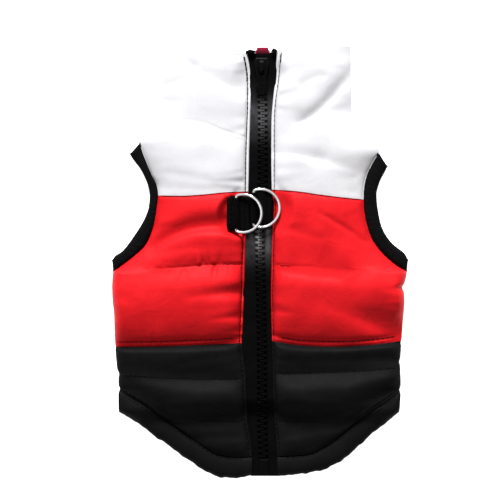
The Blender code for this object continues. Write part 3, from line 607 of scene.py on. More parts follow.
def slab(name, x, y, top, floor, finish, **given):
    """New piece between two height fields over the same grid."""
    rows, columns = x.shape
    heights = [np.stack((x, y, z + 0 * x), axis=-1).reshape(-1, 3) for z in (top, floor)]
    index = np.arange(x.size).reshape(rows, columns)
    corners = index[:-1, :-1], index[:-1, 1:], index[1:, 1:], index[1:, :-1]
    upper = np.stack(corners, axis=-1).reshape(-1, 4)
    lower = upper[:, ::-1] + x.size
    ring = np.concatenate((index[0, :-1], index[:-1, -1], index[-1, :0:-1], index[:0:-1, 0]))
    following = np.roll(ring, -1)
    wall = np.stack((ring, ring + x.size, following + x.size, following), axis=-1)
    faces = np.concatenate((upper, lower, wall))
    return solid(name, np.concatenate(heights), faces, finish, **given)


def tube(rings, sides, loop=False):
    """Faces of a tube through rings of points: a loop, or with quads across both ends."""
    index = np.arange(rings * sides).reshape(rings, sides)
    if loop:
        index = np.vstack((index, index[:1]))
    around = np.roll(index, -1, axis=1)
    walls = np.stack((index[:-1], around[:-1], around[1:], index[1:]), axis=-1).reshape(-1, 4)
    if loop:
        return walls
    k = np.arange(sides // 2 - 1)
    near = np.stack((k, sides - 1 - k, sides - 2 - k, k + 1), axis=-1)
    far = near[:, [0, 3, 2, 1]] + (rings - 1) * sides
    return np.concatenate((walls, near, far))


def repeated(faces, count, points):
    """The faces of one body, for a number of bodies with so many points each."""
    return (faces[None] + (np.arange(count) * points)[:, None, None]).reshape(-1, 4)


def unit(vectors):
    return vectors / np.linalg.norm(vectors, axis=-1)[..., None]


# ---------------------------------------------------------------- shader maths

def operator(operation, turned=False):
    """Method of Value that makes a maths node; turned swaps the node's two inputs."""
    def apply(self, other=0):
        first, second = (other, self) if turned else (self, other)
        return self.kit.node("ShaderNodeMath", {"operation": operation}, {0: first, 1: second})
    return apply


class Value:
    """A shader socket that can be added, multiplied and raised like a number."""

    def __init__(self, kit, socket):
        self.kit = kit
        self.socket = socket

    __add__ = __radd__ = operator("ADD")
    __sub__, __rsub__ = operator("SUBTRACT"), operator("SUBTRACT", True)
    __mul__ = __rmul__ = operator("MULTIPLY")
    __truediv__, __rtruediv__ = operator("DIVIDE"), operator("DIVIDE", True)
    __pow__, __rpow__ = operator("POWER"), operator("POWER", True)
    sine = operator("SINE")
    size = operator("ABSOLUTE")

    def wave(self):
        """Sine wave from 0 to 1."""
        return self.sine() * 0.5 + 0.5

    def ridges(self, pitch):
        return (self * (2 * math.pi / pitch)).wave()

    def fade(self):
        """1 at 0, falling off like a bell with the square root of the value."""
        return math.e ** (self * -1.0)


class Finish:
    """A material with one Principled shader, and the calls that build its nodes."""

    def __init__(self, name, **fixed):
        self.material = bpy.data.materials.new(name)
        self.material.use_nodes = True
        self.nodes = self.material.node_tree.nodes
        self.links = self.material.node_tree.links
        self.shader = self.nodes["Principled BSDF"]
        self.set(**fixed)

    def node(self, kind, settings, inputs, output=0):
        """A node of this type: settings first, then the values or links of its sockets."""
        made = self.nodes.new(kind)
        for key, value in settings.items():
            setattr(made, key, value)
        for key, value in inputs.items():
            self.feed(made.inputs[key], value)
        return Value(self, made.outputs[output])

    def feed(self, socket, value):
        if isinstance(value, Value):
            self.links.new(value.socket, socket)
        else:
            socket.default_value = value

    def set(self, **values):
        for socket, value in values.items():
            self.feed(self.shader.inputs[socket.replace("_", " ")], value)
        return self.material

    def axes(self, coordinates="Object"):
        """X, Y and Z of the object in metres, or U and V."""
        place = self.node("ShaderNodeTexCoord", {}, {}, coordinates)
        made = self.node("ShaderNodeSeparateXYZ", {}, {0: place}).socket.node
        return [Value(self, made.outputs[k]) for k in range(3)]

    def noise(self, size, detail=3.0, twist=0.0, stretch=(1, 1, 1)):
        """Noise whose features are about the given size in mm."""
        place = self.node("ShaderNodeTexCoord", {}, {}, "Object")
        scaled = self.node("ShaderNodeMapping", {}, {"Vector": place, "Scale": stretch})
        values = {"Vector": scaled, "Scale": 1 / (size * MM), "Detail": detail, "Distortion": twist}
        return self.node("ShaderNodeTexNoise", {}, values, "Fac")

    def weave(self, pitch):
        """Plain weave of threads this far apart in mm."""
        x, y, _ = self.axes()
        threads = 2 * math.pi / (pitch * MM)
        return (x * threads).sine() * (y * threads).sine() * 0.5 + 0.5

    def ramp(self, value, low, high):
        """0 up to the low value, 1 from the high one, and even between them."""
        made = self.node("ShaderNodeValToRGB", {}, {0: value})
        ends = made.socket.node.color_ramp.elements
        for end, place, level in zip(ends, (low, high), (0, 1)):
            end.position = place
            end.color = (level, level, level, 1)
        return made

    def mix(self, share, *ends):
        """Colour between two colours."""
        first, second = (end if isinstance(end, Value) else (*end, 1) for end in ends)
        inputs = {0: share, 6: first, 7: second}
        return self.node("ShaderNodeMix", {"data_type": "RGBA"}, inputs, 2)

    def bump(self, height, deep, below=None, strength=1.0):
        """Normal from a height whose full range is deep mm."""
        inputs = {"Height": height, "Distance": deep * MM, "Strength": strength}
        if below is not None:
            inputs["Normal"] = below
        return self.node("ShaderNodeBump", {}, inputs)

    def gloss_and_sheen_bands(self):
        """Bands along Y, smooth in and out, where the zip is rubbed and bent and its coat is
        glossier; on the tapes they also carry a painted sheen.
        """
        y = self.axes()[1]
        bands = [(((y - middle * MM) / (half * MM)) ** 2).fade() for middle, half in GLOSS_AND_SHEEN_BANDS]
        return bands[0] + bands[1]

    def painted_gleams(self, places):
        """Painted highlights: pale spots, round or long, smooth at their rims."""
        x, y, _ = self.axes()
        spots = []
        for middle_x, middle_y, half_x, half_y, strength in places:
            far = ((x - middle_x * MM) / (half_x * MM)) ** 2
            far = far + ((y - middle_y * MM) / (half_y * MM)) ** 2
            spots.append(far.fade() * strength)
        return spots[0] + spots[1]


# Bands of the zip with a glossier coat, and on its tapes a painted sheen: middle and half length.
# Painted highlights,
# pale spots of the tapes and of the teeth: middle x and y, half sizes, and strength.
GLOSS_AND_SHEEN_BANDS = ((88.0, 10.5), (9.5, 8.5))
TAPE_PAINTED_GLEAMS = ((5.0, 14.5, 1.3, 6.5, 0.35), (0.0, 13.5, 1.8, 4.5, 0.5))
TOOTH_PAINTED_GLEAMS = ((-1.0, 13.5, 1.7, 5.0, 1.0), (1.2, 86.0, 1.8, 8.0, 0.12))


def shell_finish(name, colour, shade, rough, crumple, shine):
    """Thin woven shell over padding: plain weave, fine crinkles and soft mottling."""
    made = Finish(name, Specular_IOR_Level=shine)
    coarse = made.noise(11, 3, 0.8)
    fine = made.noise(3.2, 3, 1.2, (1, 1.6, 1))
    normal = made.bump(made.weave(0.55), 0.02, strength=0.5)
    normal = made.bump(fine, 0.10 * crumple, normal)
    normal = made.bump(coarse, 0.55 * crumple, normal)
    tint = made.mix(made.ramp(coarse, 0.35, 0.75), colour, shade)
    return made.set(Base_Color=tint, Roughness=fine * 0.16 + (rough - 0.08), Normal=normal)


def ribbed_finish(name, colour, pitch, deep, coordinates="Object", worn=False):
    """Black narrow cloth: fine ribs one way and threads the other; when worn is set, glossy bands
    with a painted sheen, and painted highlight spots.
    """
    made = Finish(name, Specular_IOR_Level=0.02, Coat_Roughness=0.6, Coat_IOR=1.8)
    x, y, _ = made.axes(coordinates)
    pitch = pitch * (MM if coordinates == "Object" else 1.0)
    cords = y.ridges(pitch) * 0.6 + (x + y * 0.6).ridges(0.6 * pitch) * 0.4
    wear = made.noise(6, 4)
    normal = made.bump(cords, deep, made.bump(wear, 0.25))
    tint = made.mix(wear, colour, [1.8 * c for c in colour])
    if worn:
        shine = made.gloss_and_sheen_bands() * wear
        made.set(Coat_Weight=shine * 1.2)
        # Painted sheen: inside the gloss bands the tape's colour is lightened, as if light glinted
        # off it.
        tint = made.mix(shine * 1.1, tint, (0.012, 0.013, 0.016))
        # Painted highlights: pale spots on the tape where light would glint.
        tint = made.mix(made.painted_gleams(TAPE_PAINTED_GLEAMS), tint, (0.13, 0.135, 0.15))
    return made.set(Base_Color=tint, Roughness=wear * 0.2 + 0.7, Normal=normal)


def webbing_finish(name):
    """Woven webbing: a chevron twill."""
    made = Finish(name, Specular_IOR_Level=0.02)
    x, y, _ = made.axes()
    zig = ((y * (1 / (4.0 * MM))).sine().size() * 1.2 + x * (1 / (0.42 * MM))).wave()
    cords = zig * 0.6 + y.ridges(0.7 * MM) * 0.4
    wear = made.noise(5, 4)
    normal = made.bump(cords, 0.12, made.bump(wear, 0.2))
    tint = made.mix(zig * wear, (0.0012, 0.0012, 0.0014), (0.0034, 0.0034, 0.0036))
    return made.set(Base_Color=tint, Roughness=wear * 0.2 + 0.65, Normal=normal)


def plastic_finish(name):
    """Moulded black plastic: fine mould grain, shinier where it is rubbed, and painted highlight
    spots on the teeth.
    """
    made = Finish(name, Specular_IOR_Level=0.02, Coat_Roughness=0.5, Coat_IOR=1.9)
    rub = made.noise(5, 3)
    tint = made.mix(rub, (0.0014, 0.0014, 0.0016), (0.0026, 0.0026, 0.0028))
    # Painted highlights: pale spots on the teeth where light would glint.
    tint = made.mix(made.painted_gleams(TOOTH_PAINTED_GLEAMS), tint, (0.26, 0.265, 0.28))
    normal = made.bump(made.noise(0.8, 4), 0.03)
    made.set(Coat_Weight=made.gloss_and_sheen_bands() + 0.01)
    return made.set(Base_Color=tint, Roughness=rub * 0.2 + 0.45, Normal=normal)


def lacquer_finish(name):
    """Black lacquered zinc, a little scuffed."""
    made = Finish(name, Coat_Roughness=0.3, Specular_IOR_Level=0.08)
    scuff = made.noise(2.2, 6, 0, (1, 4, 1))
    worn = made.ramp(scuff, 0.58, 0.72)
    tint = made.mix(worn, (0.0016, 0.0016, 0.0018), (0.006, 0.006, 0.0065))
    made.set(Coat_Weight=worn * 0.3, Normal=made.bump(made.noise(1.5, 2), 0.02))
    return made.set(Base_Color=tint, Roughness=scuff * 0.25 + 0.3)


def chrome_finish(name):
    """Bright plated wire with faint drawing marks, dull spots, and a painted dark reflection as a
    stripe along its outer flank.

    UV v is the turn round the wire: 0 inwards of the ring, 1 outwards, 0.5 up and down."""
    made = Finish(name, Metallic=0.55, Specular_IOR_Level=0.5)
    dull = made.noise(3.5, 4)
    # Painted reflection: a dark stripe along the outer flank, where the chrome would mirror
    # something dark.
    line = (((made.axes("UV")[1] - 0.83) / 0.15) ** 2).fade()
    tint = made.mix(dull, (0.95, 0.95, 0.95), (0.82, 0.82, 0.83))
    tint = made.mix(line * 0.97, tint, (0.02, 0.02, 0.022))
    marks = made.bump(made.noise(0.6, 3), 0.012)
    return made.set(Base_Color=tint, Roughness=dull * 0.16 + 0.06, Normal=marks)


def lining_finish(name):
    """Crimson taffeta: crossed threads with a slight shot of light."""
    made = Finish(name, Sheen_Weight=0.1, Sheen_Roughness=0.3, Specular_IOR_Level=0.3)
    soft = made.noise(9, 3, 0.6)
    normal = made.bump(made.weave(0.4), 0.02, made.bump(soft, 0.5))
    tint = made.mix(soft, (0.20, 0.005, 0.025), (0.36, 0.012, 0.055))
    return made.set(Base_Color=tint, Roughness=soft * 0.2 + 0.38, Normal=normal)


def thread_finish(name, colour):
    """Sewing thread: fine twisted plies."""
    made = Finish(name, Specular_IOR_Level=0.1)
    x, y, _ = made.axes()
    twist = (x + y).ridges(0.35 * MM)
    tint = made.mix(twist, colour, [0.7 * c for c in colour])
    return made.set(Base_Color=tint, Roughness=twist * 0.1 + 0.5, Normal=made.bump(twist, 0.05))


def floor_finish(name):
    """White back-lit paper."""
    white = (1, 1, 1, 1)
    made = Finish(name, Specular_IOR_Level=0.1, Emission_Color=white, Emission_Strength=1.0)
    fibre = made.noise(2.0, 4)
    tint = made.mix(fibre, (0.93, 0.93, 0.93), (0.90, 0.90, 0.905))
    return made.set(Base_Color=tint, Roughness=fibre * 0.1 + 0.85, Normal=made.bump(fibre, 0.02))


FINISHES = {
    name: make(name, *given) for name, make, *given in (
        ("white_shell", shell_finish, (0.605, 0.602, 0.62), (0.585, 0.582, 0.605),
         0.6, 0.35, 0.05),
        ("red_shell", shell_finish, (0.590, 0.0090, 0.0130), (0.525, 0.0070, 0.0110),
         0.55, 0.75, 0.06),
        ("black_shell", shell_finish, (0.0046, 0.0046, 0.0047), (0.0062, 0.0062, 0.0063),
         0.6, 0.5, 0.03),
        ("crimson_lining", lining_finish),
        ("black_binding", ribbed_finish, (0.0028, 0.0028, 0.0030), 0.8, 0.10, "UV"),
        ("zip_tape", ribbed_finish, (0.0016, 0.0016, 0.0018), 0.7, 0.08, "Object", True),
        ("black_webbing", webbing_finish),
        ("zip_plastic", plastic_finish),
        ("black_lacquer", lacquer_finish),
        ("chrome", chrome_finish),
        ("red_thread", thread_finish, (0.56, 0.009, 0.012)),
        ("black_thread", thread_finish, (0.0014, 0.0014, 0.0016)),
        ("floor_paper", floor_finish),
    )
}


# ---------------------------------------------------------------- panels and linings

class Surface:
    """A grid of points in mm that gives points and upward normals between its nodes."""

    def __init__(self, grid):
        self.grid = grid
        normal = unit(np.cross(np.gradient(grid, axis=1), np.gradient(grid, axis=0)))
        self.normal = np.where(normal[..., 2:3] <= 0, -normal, normal)

    def at(self, i, j):
        """Point and normal at fractional row i and column j."""
        i = np.clip(i, 0, self.grid.shape[0] - 1.001)
        j = np.clip(j, 0, self.grid.shape[1] - 1.001)
        i0, j0 = i.astype(int), j.astype(int)
        a, b = (i - i0)[:, None], (j - j0)[:, None]
        out = []
        for field in (self.grid, self.normal):
            low = field[i0, j0] * (1 - b) + field[i0, j0 + 1] * b
            high = field[i0 + 1, j0] * (1 - b) + field[i0 + 1, j0 + 1] * b
            out.append(low * (1 - a) + high * a)
        return out


def back_panels(side, surface):
    """The padded panels of one half, cut from its surface at the seam lines."""
    for stem, (low, high, finish, fill) in PANELS.items():
        node = f"{stem}_{side}"
        part = surface.grid[ROW_BOUNDS[low][0]:ROW_BOUNDS[high][1] + 1].copy()
        x, y, top = np.moveaxis(part, -1, 0)
        y[0] += SEAM_GAPS.get(ROWS[low].low, SEAM_GAP)
        y[-1] -= SEAM_GAPS.get(ROWS[high].high, SEAM_GAP)
        under = back_underside(x, y, TAIL_SHELL)
        slab(node + "_cloth", x, y, top, under, finish, node=node, fill=fill)


CASING_THICK = 2.2
CASING_CROWN = 1.7
CASING_EDGE = 0.55        # share of its thickness that it loses at its outline
CASING_FILL = 0.3
HEM_WAVE = (0.32, 9, 88)  # waves of the hem's outline: height, mean length, length of a half
GATHER = (0.28, 6.5)      # gathers of the casing: height and mean length


def hem_casing(side):
    """The folded hem: a low round welt outside its stitch line, slightly gathered, with
    waves along its outline."""
    u = spread(COLUMNS)
    high, length, half = HEM_WAVE
    wavy = high * waves(u * half, length, 43) * smooth(u * 8) * smooth((1 - u) * 12)
    low_y = even_curve(SEAMS["hem"][side])(u) + wavy
    high_y = even_curve(SEAMS["hem_stitch"][side])(u) - 2 * SEAM_GAP
    share = np.linspace(0, 1, 13)[:, None]
    y = between(low_y, high_y, share)
    x = half_points(side, y, u)
    under = back_underside(x, y)
    crown = CASING_CROWN * np.sin(np.pi * share) ** 0.6
    edge = 1 - CASING_EDGE * bell(share * 9)
    high, length = GATHER
    gather = high * waves(x, length, SEEDS["gathers"][side]) * np.exp(-(1 - share) * 3)
    gather = gather * np.sin(np.pi * np.clip(share + 0.1, 0, 1))
    top = under + (CASING_THICK * edge + crown) + gather
    node = "hem_casing_" + side
    slab(node + "_cloth", x, y, top, under, "black_shell", node=node, fill=CASING_FILL)
    return Surface(np.stack((x, y, top), axis=-1))


def chest_panel(name, low, high, finish, steps):
    """A panel of the chest side: flat where it rests, with its rims rolled up to the seams
    in a quarter circle that waves a little."""
    across = spread(CHEST_COLUMNS)
    low_y = even_curve(CHEST_SEAMS[low])(across) + SEAM_GAP
    high_y = even_curve(CHEST_SEAMS[high])(across) - SEAM_GAP
    y = between(low_y, high_y, spread(steps, 0.3, 0.3)[:, None])
    left, right = (panel_edge(side, y) for side in SIDES)
    x = between(left, right, across)
    top = meeting(x, y) - LAYER_GAP
    if high == "throat_top":
        top = top - HIDDEN_LINING
    from_rim = np.minimum(np.minimum(y - low_y, high_y - y), np.minimum(x - left, right - x))
    roll, reach = CHEST_RIM
    part, length = CHEST_WAVE
    floor = roll * (1 + part * waves(x + y, length, 41)) * (1 - round_off(from_rim, reach))
    top = np.maximum(top, floor + CHEST_THIN)
    slab(name + "_cloth", x, y, top, floor, finish, node=name, fill=CHEST_FILL)


def lining_piece(name, x, y, top, floor):
    """A thin lining between two height fields."""
    piece = slab(name + "_cloth", x, y, top, floor, "crimson_lining", node=name)
    area = abs(float((np.diff(x, axis=1)[:-1] * np.diff(y, axis=0)[:, :-1]).sum()))
    wide, long = float(np.ptp(x)), float(np.ptp(y))
    area = min(area, 0.999 * wide * long) * MM ** 2


# The lining where it shows above the zip: heights beside the arch, where it comes out and
# at its peak, the x where the arch starts and ends, each with the length of its flank, and
# how far it rolls up.
LINING_FOOT = 122.5
LINING_MOUTH = 125.0
LINING_PEAK = 129.3
ARCH_LEFT = (-3.6, 2.2)
ARCH_RIGHT = (7.6, 2.8)
ARCH_ROLL = 1.6


def collar_lining():
    """Lining of the throat side, which shows between the tapes' ends as a low arch."""
    across = np.linspace(0.02, 0.98, 121)
    low_y = even_curve(CHEST_SEAMS["throat"])(across) + 1.0
    middle = between(*(SIDE_X[side](LINING_MOUTH) for side in SIDES), across)
    arch = smooth((middle - ARCH_LEFT[0]) / ARCH_LEFT[1])
    arch = arch * smooth((ARCH_RIGHT[0] - middle) / ARCH_RIGHT[1])
    high_y = between(LINING_FOOT, LINING_PEAK, arch)
    y = between(low_y, high_y, np.linspace(0, 1, 41)[:, None])
    x = between(*(SIDE_X[side](y) for side in SIDES), across)
    top = meeting(x, y) - LAYER_GAP + ARCH_ROLL * arch * smooth((y - LINING_MOUTH) / 3)
    lining_piece("collar_lining", x, y, top, top - LINING_THICK)


def tail_lining(side):
    """Lining of the tail from the hem's stitches to the belly hem, softly uneven below."""
    u = np.linspace(0, 0.74, 41)
    low_y = even_curve(SEAMS["hem_stitch"][side])(u) + 1.5 * SEAM_GAP
    high_y = belly_hem_y(half_points(side, low_y, u)) - 2 * SEAM_GAP
    y = between(low_y, high_y, np.linspace(0, 1, 21)[:, None])
    x = half_points(side, y, u) + OUT[side] * 0.9 * (1 - u)
    lining_piece("tail_lining_" + side, x, y, LINING_THICK, 0.12 * np.abs(lumps(x, y, 14, 61)))


# ---------------------------------------------------------------- armhole bindings

ARMHOLES = {
    # stations from the shoulder fold to the underarm fold: the inner point lies on the
    # side edge at inner_y, and the outer point is given; then the way the top turns
    "left": {
        "inner_y": (72.4, 66.6, 60, 53.3, 46.7, 40.5, 34, 27.5, 21.3, 15.3, 8.7, 3, -2, -5.3),
        "outer_x": (-77.9, -75, -71.9, -69.2, -67, -66, -66.7, -68.9, -71.2, -75.5, -79.4, -83,
                    -86.8, -88.4),
        "outer_y": (65, 60.8, 56.8, 51.8, 46.2, 40, 33.2, 27, 22.6, 16, 10.5, 6.5, 4.1, 1.6),
        "top_turn": (-0.77, 0.63),
    },
    "right": {
        "inner_y": (67.1, 61.3, 55.3, 49, 42.3, 36.3, 30.3, 24, 18.3, 12.3, 6.3, 1.7, -2.4, -5.3),
        "outer_x": (76.9, 75.2, 72.8, 71.2, 70.3, 70.7, 71.5, 72.6, 74, 76.2, 79.6, 83.6, 87.2,
                    89.2),
        "outer_y": (57.6, 54.4, 49.9, 45.4, 41, 35.6, 30, 24.8, 20.4, 16.3, 11.9, 8.5, 5.6, 2),
        "top_turn": (0.87, 0.5),
    },
}
BAND_STEPS = 150          # sections along one side of a band, and round one of its folds
TURN_STEPS = 11
TURN_RADIUS = 2.4
TURN_REACH = 7            # stations over which a band pulls in towards its fold
BAND_TOP = 3.3
BAND_RIM = 0.8
BAND_ARC = 13             # points of a section over its dome, and along its flat side
BAND_FLAT = 5
BAND_STEP = 0.55          # length along the band between sections
CRIMP = (0.16, 3.6)       # crimps of the gathered rib: height and mean length
BAND_SEAM = (0.35, 0.16, 0.05)   # groove along the inner rim: depth, place and half width
BAND_FILL = 0.4


def band_sections(side):
    """Sections of an armhole binding round its closed loop, with UV: s along, t across.

    The loop runs over the back, turns round under the shoulder or underarm and runs back
    below. Each section is a flattened oval between the inner and the outer line."""
    rows = ARMHOLES[side]
    given = np.arange(len(rows["inner_y"]))
    along = np.linspace(0, given[-1], BAND_STEPS)
    inner_y, outer_x, outer_y = (
        curve(given, rows[key])(along) for key in ("inner_y", "outer_x", "outer_y"))
    inner = np.stack((SIDE_X[side](inner_y), inner_y), axis=-1)
    outer = np.stack((outer_x, outer_y), axis=-1)
    there, last = np.arange(BAND_STEPS), BAND_STEPS - 1
    turn = np.linspace(0, 180, TURN_STEPS + 2)[1:-1]
    index = np.concatenate((there, 0 * turn + last, there[::-1], 0 * turn)).astype(int)
    angle = np.radians(np.concatenate((0 * there, turn, 0 * there + 180, turn[::-1])))
    to_end, to_start = (
        np.maximum(1 - far / TURN_REACH, 0)[:, None] ** 2 for far in (last - index, index))
    outward = to_end * np.array([OUT[side], 0.0]) + to_start * np.array(rows["top_turn"])
    lift, reach = np.cos(angle), np.sin(angle)
    arc, flat = np.linspace(0, 1, BAND_ARC), np.zeros(BAND_FLAT)
    shares = np.concatenate((arc, np.linspace(1, 0, BAND_FLAT + 2)[1:-1]))
    dome = np.concatenate(((1 - np.abs(2 * arc - 1) ** 3) ** 0.5, flat))
    is_top = np.concatenate((np.ones(BAND_ARC), flat))
    upper, lower = (between(BAND_RIM, high, dome) for high in (BAND_TOP, TURN_RADIUS))
    blend = np.maximum(lift, 0)[:, None]
    radius = is_top * (upper * blend + lower * (1 - blend)) + (1 - is_top) * LAYER_GAP
    s = np.arange(len(index)) * BAND_STEP
    high, length = CRIMP
    crimp = waves(np.repeat(s[:, None], len(shares), axis=1), length, 91)
    crimp = high * crimp * np.exp(-shares * 2.2) * is_top
    radius = radius + crimp * dome * blend
    deep, place, half = BAND_SEAM
    radius = np.maximum(radius - deep * bell((shares - place) / half) * is_top * blend, LAYER_GAP)
    plan = inner[index][:, None] + shares[None, :, None] * (outer - inner)[index][:, None]
    bulge = reach[:, None] * radius - TURN_RADIUS * (is_top * dome + (1 - is_top))
    plan = plan + outward[:, None] * bulge[..., None]
    z = EDGE_MEET + lift[:, None] * radius
    width = np.linalg.norm((outer - inner)[index], axis=1)
    across = shares[None, :] * width[:, None] + 20 * (1 - is_top)
    uv = np.stack((s[:, None] + 0 * radius, across), axis=-1)
    return np.concatenate((plan, z[..., None]), axis=-1), uv


def armhole_binding(side):
    sections, uv = band_sections(side)
    node = "armhole_binding_" + side
    solid(node + "_cloth", sections, tube(*sections.shape[:2], loop=True), "black_binding",
          node=node, fill=BAND_FILL, uv=uv, sharp=70)


# ---------------------------------------------------------------- zip

ZIP_TOP = 126.6
ZIP_FOOT = -128.4
TAPE_SLIT = -0.05         # half the slit between the tapes, under the teeth
TAPE_LAP = 0.7            # how far a tape runs under the panel
# Across a tape from the teeth: share of its width, and thickness.
TAPE_PROFILE = ((0, 1), (0.12, 1), (0.3, 1.05), (0.5, 1.1), (0.75, 1.1), (0.85, 1.15), (1, 1))
TAPE_RIPPLE = (0.12, 12)  # height and mean length
TAPE_SLANT = (1.2, 2.0)   # its top end starts this far below the zip's, and rises this much
TAPE_ENDS = {
    # the turned end of each tape: centre x, y and height, and half sizes
    "left": ((-5.2, 126.3, 7.6), (3.0, 1.5, 1.0)),
    "right": ((8.9, 126.6, 7.8), (1.7, 2.1, 0.9)),
}


def zip_tape(side):
    """A woven tape from beside the teeth to under the panel's folded edge, with the ridge
    that holds the teeth. Its top end slants up to the panel."""
    share, thick = np.array(TAPE_PROFILE, float).T[..., None]
    below, rise = TAPE_SLANT
    top_y = ZIP_TOP - below + rise * share ** 2
    y = between(ZIP_FOOT, top_y, np.linspace(0, 1, 260))
    inner = CHAIN_X(y) + OUT[side] * TAPE_SLIT
    outer = ZIP_X[side](y) + OUT[side] * TAPE_LAP
    x = between(inner, outer, share)
    under = back_underside(x, y)
    high, length = TAPE_RIPPLE
    ripple = high * waves(y + 2 * share, length, 101) * smooth((share + 0.2) * 2)
    node = "zip_tape_" + side
    piece = slab(node + "_cloth", x, y, under + thick + ripple, under, "zip_tape", node=node)


def tape_end(side):
    """The end of a tape, turned over the panel's corner: a crumpled flat lump.

    A point is centre + half sizes * direction * (1 + 0.12 * lumps), directions over a ball."""
    centre, half = TAPE_ENDS[side]
    turn = np.linspace(0, 2 * np.pi, 24, endpoint=False)[None, :]
    rise = np.linspace(-0.499, 0.499, 13)[:, None] * np.pi
    ways = (np.cos(rise) * np.cos(turn), np.cos(rise) * np.sin(turn), np.sin(rise) + 0 * turn)
    ways = np.stack(ways, axis=-1)
    crumple = 1 + 0.12 * lumps(ways[..., 0] * 3, ways[..., 1] * 3, 2.5, 301)
    body = np.array(centre) + ways * np.array(half) * crumple[..., None]
    solid("tape_end_" + side, body, tube(*body.shape[:2]), "zip_tape")


TEETH = (-116.6, 110.9)   # from the first tooth to below the slider
TOOTH_PITCH = 3.3
# A moulded tooth seen from above, from its foot on the tape to its head past the middle:
# distance from the chain's middle towards its own tape, and half width along the zip.
TOOTH_PLAN = ((3.0, 0.55), (2.6, 0.78), (0.9, 0.74), (0.3, 0.5), (-0.4, 0.5), (-0.9, 0.82),
              (-1.25, 0.6))
TOOTH_MIDDLE = 0.9        # its bevel draws in towards this distance
TOOTH_LEVELS = ((1.0, 1.0), (1.95, 1.0), (2.3, 0.8))   # above the back's inside, and size


def zip_teeth():
    """Both rows of teeth in turn: each is its outline between levels, with a narrower top,
    so that its rim is bevelled."""
    plan = np.array(TOOTH_PLAN + tuple((a, -b) for a, b in reversed(TOOTH_PLAN)))
    low, high = TEETH
    count = int((high - low) / TOOTH_PITCH)
    size = len(TOOTH_LEVELS) * len(plan)
    points, faces = [], []
    for row, side in enumerate(SIDES):
        y = low + TOOTH_PITCH * (np.arange(count) + row / 2)
        middle = CHAIN_X(y)
        under = back_underside(middle, y)[:, None] + 0 * plan[:, 0]
        rings = []
        for level, scale in TOOTH_LEVELS:
            toward = (plan[:, 0] - TOOTH_MIDDLE) * scale + TOOTH_MIDDLE
            ring = (middle[:, None] + OUT[side] * toward, y[:, None] + plan[:, 1] * scale)
            rings.append(np.stack((*ring, under + level), axis=-1))
        body = np.stack(rings, axis=1)
        one = facing_out(body[0], tube(len(TOOTH_LEVELS), len(plan)))
        faces.append(repeated(one, count, size) + row * count * size)
        points.append(body.reshape(-1, 3))
    solid("zip_teeth", np.concatenate(points), np.concatenate(faces), "zip_plastic",
          node="zip_chain", sharp=30)


# ---------------------------------------------------------------- leash rings and tabs

WIRE = 0.8
WIRE_SIDES = 20
RING_RADIUS = 11.4
RING_OFFSET = 4.5
RING_CORNER = 0.35
RING_STEPS = 110          # sections round the circle; the bar has 12 more
TAB_THICK = 0.8
TAB_SEAT = 0.04           # gap between the layers of a tab
LOOP_BORE = 1.05
LOOP_HALF = 9.3
LOOP_TURN = (15, 268)     # the upper layer goes round the bar between these angles
TAB_SEWN = 0.82           # share of the tab's width that is sewn,
TAB_ROWS = (1.4, 3.0)     # in rows this far from the upper layer's end
RINGS = {
    # side: bar x, y and z, and tilt in degrees
    "left": (-14.2, 29.5, 10.5, 13.5),
    "right": (-3.8, 32.7, 9.55, 0.0),
}
TABS = {
    # side: left and right end of the under layer, its half width, radius of its left
    # corners, and the end of the upper layer, which goes round the ring's bar
    "left": (-19.6, -6.1, 10.6, 3.0, -19.3),
    "right": (-5.65, 7.4, LOOP_HALF, 1.0, 3.2),
}


def softened(path, times, loop=False):
    """The path with each point drawn towards its neighbours; ends stay unless it loops."""
    for _ in range(times):
        drawn = 0.5 * path + 0.25 * (np.roll(path, 1, axis=0) + np.roll(path, -1, axis=0))
        if not loop:
            drawn[[0, -1]] = path[[0, -1]]
        path = drawn
    return path


def ring_path(count):
    """Centre line of a leash ring in its own plane: bar at x 0, circle beyond it."""
    start = math.pi - math.acos(RING_OFFSET / RING_RADIUS)
    angles = np.linspace(-start, start, count)
    arc = RING_RADIUS * np.stack((np.cos(angles), np.sin(angles)), axis=-1) + (RING_OFFSET, 0)
    arc[[0, -1], 0] += RING_CORNER
    half_bar = RING_RADIUS * math.sin(start)
    bar = np.array([(0.0, y) for y in np.linspace(half_bar, -half_bar, 14)[1:-1]])
    return softened(np.concatenate((arc, bar)), 3, loop=True)


def leash_ring(side):
    """Round plated wire along the ring's path, in its tilted plane."""
    bar_x, bar_y, bar_z, tilt = RINGS[side]
    path = ring_path(RING_STEPS)
    ahead = unit(np.roll(path, -1, axis=0) - np.roll(path, 1, axis=0))
    tilt = math.radians(tilt)
    angle = np.linspace(0, 2 * np.pi, WIRE_SIDES, endpoint=False)
    away, lift = WIRE * np.cos(angle), WIRE * np.sin(angle)
    flat = path[:, :1] + ahead[:, 1:] * away
    x = bar_x + flat * math.cos(tilt) - lift * math.sin(tilt)
    y = bar_y + path[:, 1:] - ahead[:, :1] * away
    z = bar_z + flat * math.sin(tilt) + lift * math.cos(tilt)
    sections = np.stack((x, y, z), axis=-1)
    turns = np.stack((0 * x, np.abs(angle / np.pi - 1) + 0 * x), axis=-1)
    node = "d_ring_" + side
    solid(node + "_wire", sections, tube(*x.shape, loop=True), "chrome", node=node,
          body=side + "_ring", uv=turns, sharp=80)


